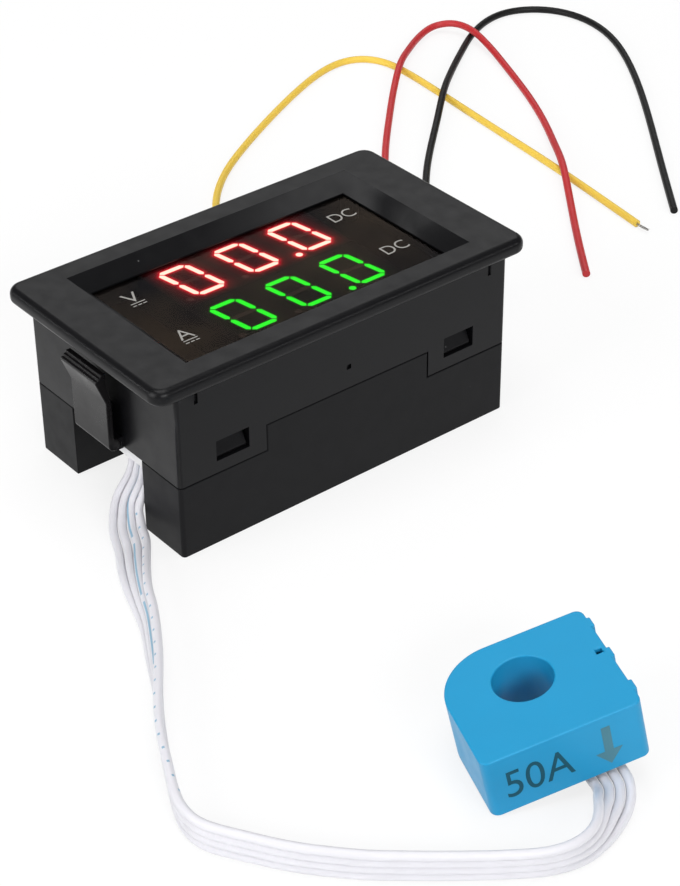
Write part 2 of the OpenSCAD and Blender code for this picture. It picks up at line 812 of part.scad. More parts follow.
module sensor_plug() {
  color("white") translate([0, plug_y, 0]) plug(sensor_ways, plug_pitch);
}

module power_header() {
  color("ivory") mirror([1, 0, 0]) socket(power_ways, power_pitch);
}

module power_header_pins() {
  color("gold") mirror([1, 0, 0]) socket_pins(power_ways, power_pitch);
}

module power_plug() {
  color("white") mirror([1, 0, 0]) plug(power_ways, power_pitch);
}

// ---------- leads and ribbon ----------

module lead(route) {
  tube(settled(smooth(route, smooth_steps), lead_d / 2), lead_d, cord_sides);
}

module yellow_lead() {
  color([0.93, 0.75, 0.2]) lead(yellow_route);
}

module yellow_strand() {
  color([0.85, 0.6, 0.4]) tube(strand_route, 0.7, cord_sides);
}

module red_lead() {
  color([0.78, 0.17, 0.2]) lead(red_route);
}

module black_lead() {
  color([0.12, 0.12, 0.12]) lead(black_route);
}

module sensor_wire(number) {
  color([0.93, 0.93, 0.95])
    tube(settled(core_path(ribbon_route, (number - 2.5) * wire_pitch), core_d / 2), core_d, cord_sides);
}

module sensor_wire_1() {
  sensor_wire(1);
}

module sensor_wire_2() {
  sensor_wire(2);
}

module sensor_wire_3() {
  sensor_wire(3);
}

module sensor_wire_4() {
  sensor_wire(4);
}

// ---------- current sensor ----------

// The sensor's own frame: its front left lower corner, leaning on its wires
module at_sensor() {
  translate(sensor_place) rotate([0, 0, sensor_turn]) rotate([0, -sensor_tilt, 0]) children();
}

// Outline of the case with one large round corner, drawn smaller by inset
module sensor_outline(inset) {
  l = sensor_l - inset;
  w = sensor_w - inset;
  r = sensor_round - inset;
  small = 1.5 - inset * 0.8;
  difference() {
    translate([inset, inset]) square([l - inset, w - inset]);
    translate([inset, w - r]) difference() {
      translate([-cut, 0]) square([r + cut, r + cut]);
      translate([r, 0]) circle(r);
    }
    for (corner = [[inset, inset, 0], [l, inset, 90], [l, w, 180]])
      translate([corner[0], corner[1]]) rotate(corner[2]) corner_waste(small);
  }
}

// What is cut away to round a corner whose square edges run along +X and +Y
module corner_waste(r) {
  difference() {
    translate([-cut, -cut]) square(r + cut);
    translate([r, r]) circle(r);
  }
}

module sensor_case() {
  color([0.2, 0.6, 0.85]) at_sensor() difference() {
    union() {
      linear_extrude(sensor_h) sensor_outline(0);
      for (y = rib_places) block([sensor_l - crumb, y - 1.1, 0], [sensor_l + 0.5, y + 1.1, sensor_h]);
    }
    translate([0, 0, -cut]) linear_extrude(sensor_h - sensor_wall + cut) difference() {
      sensor_outline(sensor_wall);
      translate(hole_at) circle(hole_d / 2 + tube_t);
    }
    translate([hole_at[0], hole_at[1], -cut]) cylinder(d = hole_d, h = sensor_h + 2 * cut);
    block([sensor_l - 1.9, 13.1, sensor_h - sensor_wall - cut], [sensor_l - 0.7, 14.2, sensor_h + cut]);
  }
}

// Places of the four solder pins, under the base
module at_wires() {
  for (i = [0 : 3]) translate([pin_row_x + (i - 1.5) * wire_pitch * 1.02, 0]) children();
}

module sensor_base() {
  color([0.1, 0.1, 0.12]) at_sensor() linear_extrude(base_t) difference() {
    sensor_outline(sensor_wall + fit);
    translate(hole_at) circle(hole_d / 2 + tube_t + fit);
    at_wires() translate([0, pin_row_y]) square(sensor_pin_t + fit, center = true);
  }
}

module sensor_core() {
  r = hole_d / 2 + tube_t + ring_clear;
  color([0.25, 0.25, 0.27]) at_sensor() translate([hole_at[0], hole_at[1], ring_z]) difference() {
    cylinder(r = r + ring_t, h = ring_h);
    translate([0, 0, -cut]) cylinder(r = r, h = ring_h + 2 * cut);
    block([0, -gap_w / 2, -cut], [r + ring_t + cut, gap_w / 2, ring_h + cut]);
  }
}

module hall_element() {
  r = hole_d / 2 + tube_t + ring_clear;
  board_top = sensor_board_z + sensor_board_t;
  color([0.1, 0.1, 0.1]) at_sensor() translate([hole_at[0], hole_at[1], 0]) {
    block([r - 0.1, -0.7, board_top + 1.2], [r + 3, 0.7, board_top + hall_top]);
    for (x = [r + 0.5, r + 1.4, r + 2.3]) block([x - 0.2, -0.2, board_top], [x + 0.2, 0.2, board_top + 1.3]);
  }
}

module sensor_board() {
  inner = sensor_wall + 0.3;
  tube_edge = hole_d / 2 + tube_t + ring_clear;
  color([0.05, 0.3, 0.16]) at_sensor() translate([0, 0, sensor_board_z]) linear_extrude(sensor_board_t) {
    translate([hall_board_x, inner])
      square([sensor_l - inner - hall_board_x, hole_at[1] - tube_edge - inner - 0.4]);
    translate([hole_at[0] + tube_edge, inner])
      square([sensor_l - inner - hole_at[0] - tube_edge, sensor_w - 2 * inner]);
  }
}

// Solder pins: down through the base, then forward to meet the wires
module sensor_pins() {
  h = sensor_pin_t / 2;
  color("silver") at_sensor() at_wires() {
    block([-h, pin_row_y - h, tail_z - h], [h, pin_row_y + h, sensor_board_z]);
    block([-h, tail_y, tail_z - h], [h, pin_row_y, tail_z + h]);
  }
}

front_shell();
rear_cover();
filter_window();
left_spring_arm();
right_spring_arm();
voltage_display();
current_display();
voltage_segments();
current_segments();
voltage_dark_segments();
current_dark_segments();
display_board();
display_screws();
display_driver();
main_board();
board_screws();
board_header();
board_pins();
microcontroller();
voltage_regulator();
capacitors();
trimmers();
resistors();
sensor_header();
sensor_header_pins();
sensor_plug();
power_header();
power_header_pins();
power_plug();
yellow_lead();
yellow_strand();
red_lead();
black_lead();
sensor_wire_1();
sensor_wire_2();
sensor_wire_3();
sensor_wire_4();
sensor_case();
sensor_base();
sensor_core();
hall_element();
sensor_board();
sensor_pins();
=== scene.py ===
"""Looks of a snap-in digital panel meter with power leads and a ring-type current sensor."""

import logging
import math
from dataclasses import dataclass
from enum import Enum

import bmesh
import bpy
from mathutils import Matrix, Vector
from mathutils.bvhtree import BVHTree


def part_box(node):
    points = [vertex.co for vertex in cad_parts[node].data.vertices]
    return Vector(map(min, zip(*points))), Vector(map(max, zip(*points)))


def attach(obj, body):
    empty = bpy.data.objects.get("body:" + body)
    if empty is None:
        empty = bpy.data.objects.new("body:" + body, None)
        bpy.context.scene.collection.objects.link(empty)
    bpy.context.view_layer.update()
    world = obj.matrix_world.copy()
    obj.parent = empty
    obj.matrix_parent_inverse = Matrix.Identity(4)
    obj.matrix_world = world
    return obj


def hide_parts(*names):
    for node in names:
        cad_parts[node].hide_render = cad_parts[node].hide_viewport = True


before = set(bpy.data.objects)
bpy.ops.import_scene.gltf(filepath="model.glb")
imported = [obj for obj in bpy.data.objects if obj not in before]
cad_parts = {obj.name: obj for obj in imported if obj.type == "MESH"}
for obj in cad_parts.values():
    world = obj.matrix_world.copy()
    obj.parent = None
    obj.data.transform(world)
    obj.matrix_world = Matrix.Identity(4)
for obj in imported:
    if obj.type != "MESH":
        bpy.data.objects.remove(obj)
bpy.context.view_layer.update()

MM = 0.001
METER = "meter"
WELD_DISTANCE = 2e-6
FLAT_ANGLE = math.radians(0.6)
CORD_SHARP = math.radians(50)
log = logging.getLogger("panel_meter")

Colour = tuple[float, float, float]
Point = tuple[float, float, float]
Pair = tuple[float, float]
Mesh = bmesh.types.BMesh
Piece = bpy.types.Object
Material = bpy.types.Material
Node = bpy.types.Node
Socket = bpy.types.NodeSocket
Term = Socket | float
Finishes = dict[str, Material]


# ---------- small helpers ----------


def millimetres(x: float, y: float, z: float) -> Vector:
    """A point given in millimetres, as a vector in metres."""
    return Vector((x, y, z)) * MM


def new_piece(name: str, bm: Mesh, body: str = METER, smooth: bool = False) -> Piece:
    """Turns a finished bmesh into a piece that rides on a body.

    Args:
        name: The piece's name.
        bm: The mesh, with its place in its vertices. It is freed here.
        body: The body that carries the piece.
        smooth: Whether the faces are shaded smooth.

    Returns:
        The new object.
    """
    mesh = bpy.data.meshes.new(name)
    bm.to_mesh(mesh)
    bm.free()
    if smooth:
        mesh.polygons.foreach_set("use_smooth", [True] * len(mesh.polygons))
    piece = bpy.data.objects.new(name, mesh)
    bpy.context.scene.collection.objects.link(piece)
    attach(piece, body)
    log.info("%s rides on %s with %d faces", name, body, len(mesh.polygons))
    return piece


def dress(piece: Piece, material: Material) -> None:
    """Gives a piece its one material."""
    piece.data.materials.clear()
    piece.data.materials.append(material)


def finished_piece(name: str, bm: Mesh, material: Material) -> Piece:
    """Turns a finished bmesh into a piece of the meter with its material.

    Args:
        name: The piece's name.
        bm: The mesh, which is freed here.
        material: The piece's material.

    Returns:
        The new object.
    """
    piece = new_piece(name, bm)
    dress(piece, material)
    return piece


def dress_node(node: str, material: Material) -> None:
    """Gives a CAD node that keeps its own mesh its material.

    Args:
        node: The CAD node's name.
        material: Its material.
    """
    dress(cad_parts[node], material)
    log.info("%s keeps its own mesh", node)


def add_rectangle(bm: Mesh, low: Pair, high: Pair, z: float) -> None:
    """Adds a flat rectangle between two corners, all in millimetres.

    Args:
        bm: The mesh that gets the rectangle.
        low: Its corner with the lowest x and y.
        high: The opposite corner.
        z: Its height.
    """
    middle = Matrix.Translation(millimetres((low[0] + high[0]) / 2, (low[1] + high[1]) / 2, z))
    size = Matrix.Diagonal(((high[0] - low[0]) * MM, (high[1] - low[1]) * MM, 1, 1))
    bmesh.ops.create_grid(bm, x_segments=1, y_segments=1, size=0.5, matrix=middle @ size)


def merged_mesh(node: str) -> Mesh:
    """A copy of a CAD node's mesh with its triangles joined into flat faces.

    Args:
        node: The CAD node's name.

    Returns:
        The copy, as a bmesh.
    """
    bm = bmesh.new()
    bm.from_mesh(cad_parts[node].data)
    bmesh.ops.remove_doubles(bm, verts=bm.verts, dist=WELD_DISTANCE)
    bmesh.ops.dissolve_limit(bm, angle_limit=FLAT_ANGLE, verts=bm.verts, edges=bm.edges)
    return bm


# ---------- finishes ----------


class Tree:
    """A material's node tree under construction."""

    def __init__(self, name: str) -> None:
        """Starts an empty material.

        Args:
            name: The material's name.
        """
        self.material = bpy.data.materials.new(name)
        self.material.use_nodes = True
        self.nodes = self.material.node_tree.nodes
        self.links = self.material.node_tree.links
        self.nodes.clear()
        self.output = self.nodes.new("ShaderNodeOutputMaterial")

    def add(self, kind: str, **settings: object) -> Node:
        """Adds a node.

        Args:
            kind: The node's type without its ShaderNode prefix.
            settings: Properties of the node, or the values of its input sockets.

        Returns:
            The new node.
        """
        node = self.nodes.new("ShaderNode" + kind)
        for key, value in settings.items():
            if hasattr(node, key):
                setattr(node, key, value)
            else:
                node.inputs[key.replace("_", " ")].default_value = value
        return node

    def link(self, source: Socket, target: Socket) -> None:
        """Joins an output socket to an input socket."""
        self.links.new(source, target)

    def place(self) -> Socket:
        """The point in the object's own coordinates, in metres."""
        return self.add("TexCoord").outputs["Object"]

    def noise(self, per_metre: float, detail: float = 3.0) -> Socket:
        """Smooth noise over the piece.

        Args:
            per_metre: How many waves it has in a metre.
            detail: How much finer noise lies on it.

        Returns:
            The noise, mostly from 0.3 to 0.7.
        """
        node = self.add("TexNoise", Scale=per_metre, Detail=detail)
        self.link(self.place(), node.inputs["Vector"])
        return node.outputs["Fac"]

    def spread(self, source: Socket, low: float, high: float, usual: Pair = (0.3, 0.7)) -> Socket:
        """Stretches a value to another range.

        Args:
            source: The value.
            low: What the lower end of its usual range becomes.
            high: What the upper end becomes.
            usual: The value's usual range, which is that of noise.

        Returns:
            The stretched value, held between low and high.
        """
        node = self.add("MapRange", From_Min=usual[0], From_Max=usual[1], To_Min=low, To_Max=high)
        self.link(source, node.inputs["Value"])
        return node.outputs["Result"]

    def blend(self, factor: Socket, first: Colour, second: Colour) -> Socket:
        """A colour that runs between two others.

        Args:
            factor: 0 for the first colour to 1 for the second.
            first: The first colour.
            second: The second colour.

        Returns:
            The colour.
        """
        node = self.add("ValToRGB")
        node.color_ramp.elements[0].color = (*first, 1)
        node.color_ramp.elements[1].color = (*second, 1)
        self.link(factor, node.inputs["Fac"])
        return node.outputs["Color"]

    def bump(self, height: Socket, depth: float) -> Socket:
        """A surface normal that follows a height.

        Args:
            height: The height, from 0 to 1.
            depth: What a height of 1 measures, in metres.

        Returns:
            The normal.
        """
        node = self.add("Bump", Strength=1.0, Distance=depth)
        self.link(height, node.inputs["Height"])
        return node.outputs["Normal"]

    def reckon(self, operation: str, first: Term, second: Term = 0.0) -> Socket:
        """The result of a sum on one or two terms.

        Args:
            operation: The sum, as the Math node names it.
            first: A socket or a number.
            second: A socket or a number, which a sum on one term leaves out.

        Returns:
            The result.
        """
        node = self.add("Math", operation=operation)
        for socket, term in zip(node.inputs, (first, second)):
            if isinstance(term, float):
                socket.default_value = term
            else:
                self.link(term, socket)
        return node.outputs[0]

    def cover(self, amount: Socket, under: Socket, over: Colour) -> Socket:
        """Covers a colour with another one.

        Args:
            amount: How much of it is covered, from 0 to 1.
            under: The colour below.
            over: The colour on top.

        Returns:
            The mixed colour.
        """
        node = self.add("MixRGB", Color2=(*over, 1))
        self.link(amount, node.inputs["Fac"])
        self.link(under, node.inputs["Color1"])
        return node.outputs["Color"]

    def mix(self, share: Socket, first: Node, second: Node) -> Node:
        """Mixes two shaders.

        Args:
            share: How much of the second one shows.
            first: The first shader.
            second: The second shader.

        Returns:
            The mixed shader.
        """
        node = self.add("MixShader")
        self.link(share, node.inputs[0])
        self.link(first.outputs[0], node.inputs[1])
        self.link(second.outputs[0], node.inputs[2])
        return node

    def finish(self, shader: Node) -> Material:
        """Joins the last shader to the output and returns the material."""
        self.link(shader.outputs[0], self.output.inputs["Surface"])
        return self.material


@dataclass(frozen=True)
class Moulding:
    """Moulded plastic with a fine grain, a slow change of tone and a few specks of dust."""

    name: str
    colour: Colour
    roughness: float = 0.45
    gloss: float = 0.3
    tone: float = 0.12
    grain_size: float = 0.25
    grain_depth: float = 0.004
    dust: float = 0.0
    dust_colour: Colour = (0.5, 0.5, 0.5)
    dust_per_metre: float = 230.0
    tone_per_metre: float = 120.0
    smears_per_metre: float = 300.0
    smear: float = 0.05

    def make(self) -> Material:
        """Builds the material.

        Returns:
            The material.
        """
        tree = Tree(self.name)
        darker = tuple(c * (1 - self.tone) for c in self.colour)
        lighter = tuple(c * (1 + self.tone) for c in self.colour)
        tone = tree.blend(tree.noise(self.tone_per_metre, 2), darker, lighter)
        shader = tree.add("BsdfPrincipled", Specular_IOR_Level=self.gloss)
        if self.dust:
            tone = self.dusted(tree, tone)
        tree.link(tone, shader.inputs["Base Color"])
        smears = tree.noise(self.smears_per_metre, 4)
        worn = tree.spread(smears, self.roughness - self.smear, self.roughness + self.smear)
        tree.link(worn, shader.inputs["Roughness"])
        grain = tree.noise(1 / (self.grain_size * MM), 2)
        tree.link(tree.bump(grain, self.grain_depth * MM), shader.inputs["Normal"])
        return tree.finish(shader)

    def dusted(self, tree: Tree, tone: Socket) -> Socket:
        """Adds small pale specks to a colour.

        Args:
            tree: The material under construction.
            tone: The clean colour.

        Returns:
            The colour with its specks.
        """
        cells = tree.add("TexVoronoi", Scale=self.dust_per_metre)
        tree.link(tree.place(), cells.inputs["Vector"])
        speck = tree.spread(cells.outputs["Distance"], 1.0, 0.0, (0.02, 0.05))
        chosen = tree.spread(cells.outputs["Color"], 0.0, self.dust, (0.78, 0.95))
        return tree.cover(tree.reckon("MULTIPLY", speck, chosen), tone, self.dust_colour)


@dataclass(frozen=True)
class Metal:
    """Bright metal with fine brushing."""

    name: str
    colour: Colour
    roughness: float = 0.3
    shade: float = 0.85
    tone_per_metre: float = 900.0
    lines_per_metre: float = 2500.0
    brushing: float = 0.08

    def make(self) -> Material:
        """Builds the material.

        Returns:
            The material.
        """
        tree = Tree(self.name)
        shader = tree.add("BsdfPrincipled", Metallic=1.0)
        shaded = tuple(c * self.shade for c in self.colour)
        tone = tree.blend(tree.noise(self.tone_per_metre), shaded, self.colour)
        tree.link(tone, shader.inputs["Base Color"])
        lines = tree.noise(self.lines_per_metre, 2)
        brushed = tree.spread(lines, self.roughness - self.brushing, self.roughness + self.brushing)
        tree.link(brushed, shader.inputs["Roughness"])
        return tree.finish(shader)


@dataclass(frozen=True)
class Laminate:
    """Circuit board with a solder mask over faint tracks."""

    name: str
    colour: Colour
    roughness: float = 0.35
    tracks_per_metre: float = 420.0
    track_tone: float = 1.6
    track_height: float = 0.02

    def make(self) -> Material:
        """Builds the material.

        Returns:
            The material.
        """
        tree = Tree(self.name)
        cells = tree.add("TexVoronoi", Scale=self.tracks_per_metre, distance="CHEBYCHEV")
        tree.link(tree.place(), cells.inputs["Vector"])
        shader = tree.add("BsdfPrincipled", Roughness=self.roughness)
        paler = tuple(c * self.track_tone for c in self.colour)
        tree.link(tree.blend(cells.outputs["Distance"], self.colour, paler), shader.inputs["Base Color"])
        tree.link(tree.bump(cells.outputs["Distance"], self.track_height * MM), shader.inputs["Normal"])
        return tree.finish(shader)


@dataclass(frozen=True)
class SmokedWindow:
    """Thin smoked acrylic: tinted, clear, with a weak reflection that a few smears warm."""

    name: str
    tint: Colour
    shine: Colour = (0.2, 0.2, 0.22)
    smear: Colour = (0.55, 0.44, 0.35)
    roughness: float = 0.06
    gloss: float = 1.22
    smears_per_metre: float = 70.0

    def make(self) -> Material:
        """Builds the material, which tints and shines on its outer side alone.

        Returns:
            The material.
        """
        tree = Tree(self.name)
        inside = tree.add("NewGeometry").outputs["Backfacing"]
        clear = tree.add("BsdfTransparent")
        tree.link(tree.blend(inside, self.tint, (1.0, 1.0, 1.0)), clear.inputs["Color"])
        shine = tree.add("BsdfGlossy", Roughness=self.roughness)
        smears = tree.spread(tree.noise(self.smears_per_metre, 1), 0.0, 1.0)
        tree.link(tree.blend(smears, self.shine, self.smear), shine.inputs["Color"])
        facing = tree.add("Fresnel", IOR=self.gloss).outputs[0]
        share = tree.reckon("MULTIPLY", facing, tree.reckon("SUBTRACT", 1.0, inside))
        return tree.finish(tree.mix(share, clear, shine))


@dataclass(frozen=True)
class Lamp:
    """Lit segment: a bright core, a coloured rim and a halo that fades over the face around it."""

    HALO_STOP = 0.34
    RIM_STOP = 0.4
    CORE_STOP = 0.8

    name: str
    core: Colour
    rim: Colour
    halo: Colour
    power: float = 1.95

    def make(self) -> Material:
        """Builds the material, which reads the glow attribute: up to 1 in the halo, more on a segment.

        Returns:
            The material.
        """
        tree = Tree(self.name)
        glow = tree.add("Attribute", attribute_name=SegmentGlow.ATTRIBUTE)
        ramp = tree.add("ValToRGB")
        stops = [
            (0.0, (0.0, 0.0, 0.0)), (self.HALO_STOP, self.halo), (self.RIM_STOP, self.rim),
            (self.CORE_STOP, self.core),
        ]
        while len(ramp.color_ramp.elements) < len(stops):
            ramp.color_ramp.elements.new(0.5)
        for element, (position, colour) in zip(ramp.color_ramp.elements, stops):
            element.position = position
            element.color = (*colour, 1)
        tree.link(tree.reckon("DIVIDE", glow.outputs["Fac"], SegmentGlow.CORE_GLOW), ramp.inputs["Fac"])
        shine = tree.add("Emission", Strength=self.power)
        tree.link(ramp.outputs["Color"], shine.inputs["Color"])
        clear = tree.add("BsdfTransparent")
        both = tree.add("AddShader")
        tree.link(shine.outputs[0], both.inputs[0])
        tree.link(clear.outputs[0], both.inputs[1])
        return tree.finish(both)


class Marking(Enum):
    """What is printed along a core's insulation."""

    PLAIN = "plain"
    DASHES = "dashes"
    DOTS = "dots"


@dataclass(frozen=True)
class Insulation:
    """Soft plastic insulation, plain or with a printed line of dashes or dots."""

    name: str
    colour: Colour
    marking: Marking = Marking.PLAIN
    ink: Colour = (0.13, 0.33, 0.48)
    roughness: float = 0.42
    gloss: float = 0.4
    dash: float = 17.0
    dash_gap: float = 2.0
    dot: float = 0.5
    dot_gap: float = 2.8
    line_share: float = 0.06
    ink_share: float = 0.8
    ink_solid: float = 0.6
    softness: float = 0.15
    soft_depth: float = 0.4
    shade: float = 0.93
    tone_per_metre: float = 260.0
    smears_per_metre: float = 800.0
    smear: float = 0.06
    grain_per_metre: float = 1500.0
    grain_depth: float = 0.012

    def make(self) -> Material:
        """Builds the material. Its print follows the tube's UV map: U along in millimetres, V around.

        Returns:
            The material.
        """
        tree = Tree(self.name)
        shader = tree.add("BsdfPrincipled", Specular_IOR_Level=self.gloss)
        shader.inputs["Subsurface Weight"].default_value = self.softness
        shader.inputs["Subsurface Radius"].default_value = (1, 1, 1)
        shader.inputs["Subsurface Scale"].default_value = self.soft_depth * MM
        shaded = tuple(c * self.shade for c in self.colour)
        tone = tree.blend(tree.noise(self.tone_per_metre), shaded, self.colour)
        if self.marking is not Marking.PLAIN:
            tone = self.printed(tree, tone)
        tree.link(tone, shader.inputs["Base Color"])
        smears = tree.noise(self.smears_per_metre)
        worn = tree.spread(smears, self.roughness - self.smear, self.roughness + self.smear)
        tree.link(worn, shader.inputs["Roughness"])
        grain = tree.noise(self.grain_per_metre)
        tree.link(tree.bump(grain, self.grain_depth * MM), shader.inputs["Normal"])
        return tree.finish(shader)

    def printed(self, tree: Tree, tone: Socket) -> Socket:
        """Prints the line on the insulation's colour.

        Args:
            tree: The material under construction.
            tone: The plain colour.

        Returns:
            The colour with its print.
        """
        split = tree.add("SeparateXYZ")
        tree.link(tree.add("UVMap", uv_map=Tube.UV).outputs[0], split.inputs[0])
        dashed = self.marking is Marking.DASHES
        length, gap = (self.dash, self.dash_gap) if dashed else (self.dot, self.dot_gap)
        along = tree.reckon("MODULO", split.outputs["X"], length + gap)
        inked = tree.reckon("LESS_THAN", along, length)
        off_line = tree.reckon("ABSOLUTE", tree.reckon("SUBTRACT", split.outputs["Y"], 0.5))
        soft = tree.spread(off_line, self.ink_share, 0.0, (self.line_share * self.ink_solid, self.line_share))
        return tree.cover(tree.reckon("MULTIPLY", soft, inked), tone, self.ink)


# ---------- camera, floor and light ----------


@dataclass(frozen=True)
class SoftPanel:
    """A soft light panel that faces the meter: its place and size in metres, its power in watts."""

    name: str
    at: Point
    size: Pair
    power: float


@dataclass
class Studio:
    """Camera, pale floor and soft lights."""

    PANELS = (
        SoftPanel("overhead", (0.0, 0.0, 1.4), (1.0, 1.0), 10.5),
        SoftPanel("behind", (0.82, 1.03, 0.95), (1.2, 0.6), 3),
        SoftPanel("left_side", (-1.1, 0.1, 0.5), (0.7, 0.9), 8),
        SoftPanel("front", (-0.3, -1.25, 0.7), (0.9, 0.4), 11),
        SoftPanel("near_strip", (0.75, -1.02, 0.66), (0.5, 0.05), 1.2),
        SoftPanel("left_strip", (-0.98, 0.88, 0.4), (0.5, 0.05), 1.2),
    )

    eye: Point = (-222.56, -298.84, 253.43)
    azimuth: float = 38.587
    elevation: float = 34.649
    roll: float = -0.616
    lens: float = 95.18
    aim: Point = (0.0, 0.0, 20.0)
    floor_size: float = 6.0
    floor_drop: float = 0.05
    floor_tone: float = 0.9
    floor_glow: float = 0.8
    air_tone: float = 0.5
    air_strength: float = 0.4

    def camera(self) -> None:
        """Makes the camera that looks down on the meter's front left corner."""
        data = bpy.data.cameras.new("camera")
        data.lens = self.lens
        data.sensor_width = 36
        data.clip_start, data.clip_end = 0.01, 20
        camera = bpy.data.objects.new("camera", data)
        bpy.context.scene.collection.objects.link(camera)
        heading, pitch = math.radians(self.azimuth), math.radians(self.elevation)
        turn = Matrix.Rotation(-heading, 4, "Z") @ Matrix.Rotation(math.pi / 2 - pitch, 4, "X")
        tipped = turn @ Matrix.Rotation(math.radians(self.roll), 4, "Z")
        camera.matrix_world = Matrix.Translation(millimetres(*self.eye)) @ tipped
        bpy.context.scene.camera = camera

    def floor(self) -> None:
        """Lays the pale floor just under the object."""
        bm = bmesh.new()
        bmesh.ops.create_grid(bm, x_segments=1, y_segments=1, size=self.floor_size / 2)
        mesh = bpy.data.meshes.new("floor")
        bm.to_mesh(mesh)
        bm.free()
        floor = bpy.data.objects.new("floor", mesh)
        floor.location.z = -self.floor_drop * MM
        bpy.context.scene.collection.objects.link(floor)
        tree = Tree("pale_floor")
        matt = tree.add("BsdfDiffuse", Color=(*[self.floor_tone] * 3, 1))
        shine = tree.add("Emission", Color=(1, 1, 1, 1), Strength=1.0)
        path = tree.add("LightPath").outputs
        seen = tree.reckon("MAXIMUM", path["Is Camera Ray"], path["Is Transmission Ray"])
        mirrored = tree.reckon("MAXIMUM", seen, path["Is Glossy Ray"])
        dress(floor, tree.finish(tree.mix(tree.reckon("MULTIPLY", mirrored, self.floor_glow), matt, shine)))

    def hang(self, panel: SoftPanel) -> None:
        """Hangs one soft light panel.

        Args:
            panel: The panel.
        """
        data = bpy.data.lights.new(panel.name, "AREA")
        data.shape = "RECTANGLE"
        data.size, data.size_y = panel.size
        data.energy = panel.power
        light = bpy.data.objects.new(panel.name, data)
        bpy.context.scene.collection.objects.link(light)
        facing = (millimetres(*self.aim) - Vector(panel.at)).to_track_quat("-Z", "Y")
        light.matrix_world = Matrix.Translation(panel.at) @ facing.to_matrix().to_4x4()

    def light(self) -> None:
        """Sets the dim surroundings, the soft panels and two strips that draw lines along the edges."""
        world = bpy.data.worlds.new("surroundings")
        world.use_nodes = True
        background = world.node_tree.nodes["Background"]
        background.inputs["Color"].default_value = (*[self.air_tone] * 3, 1)
        background.inputs["Strength"].default_value = self.air_strength
        bpy.context.scene.world = world
        for panel in self.PANELS:
            self.hang(panel)
        bpy.context.scene.view_settings.view_transform = "Standard"


# ---------- cords ----------


def lay_cord(
    tube: "Tube", node: str, material: Material
) -> None:
    """Args:
        tube: The cord's tube.
        node: The CAD node that it stands for.
        material: The insulation.
    """
    piece = tube.build()
    dress(piece, material)
    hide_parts(node)
    log.info("%s is %.0f mm long", tube.name, tube.length() / MM)


def curve_point(a: Vector, b: Vector, c: Vector, d: Vector, t: float) -> Vector:
    """The place on the smooth curve from b to c whose neighbours are a and d."""
    square, cube = t * t, t * t * t
    return 0.5 * (2 * b + (c - a) * t + (2 * a - 5 * b + 4 * c - d) * square + (3 * b - a - 3 * c + d) * cube)


def smooth_route(route: list[Vector], steps: int) -> list[Vector]:
    """Smooths a route whose first stretch stays straight.

    Args:
        route: The route's points, with any further values after x, y and z.
        steps: How many pieces each stretch is cut into.

    Returns:
        The points of the smooth curve.
    """
    last = len(route) - 1
    path = [route[0]]
    for i in range(1, last):
        for step in range(steps):
            near = (route[i - 1], route[i], route[i + 1], route[min(i + 2, last)])
            path.append(curve_point(*near, step / steps))
    path.append(route[last])
    return path


def settled(path: list[Vector], radius: float) -> list[Vector]:
    """The same path in metres, with nothing below the height of a cord that lies on the table."""
    return [Vector((p[0], p[1], max(p[2], radius))) * MM for p in path]


def relaxed(path: list[Vector], held: int, passes: int) -> list[Vector]:
    """Evens out a path's small bends on the table and keeps its heights and both ends.

    Args:
        path: The path's points.
        held: How many points at the start stay as they are.
        passes: How often each point moves halfway to the middle of its neighbours.

    Returns:
        The evened path.
    """
    for _ in range(passes):
        middles = [(path[i - 1] + path[i + 1]) / 2 for i in range(held, len(path) - 1)]
        eased = [(p + m) / 2 for p, m in zip(path[held:-1], middles)]
        path = path[:held] + [Vector((e.x, e.y, p.z)) for e, p in zip(eased, path[held:-1])] + path[-1:]
    return path


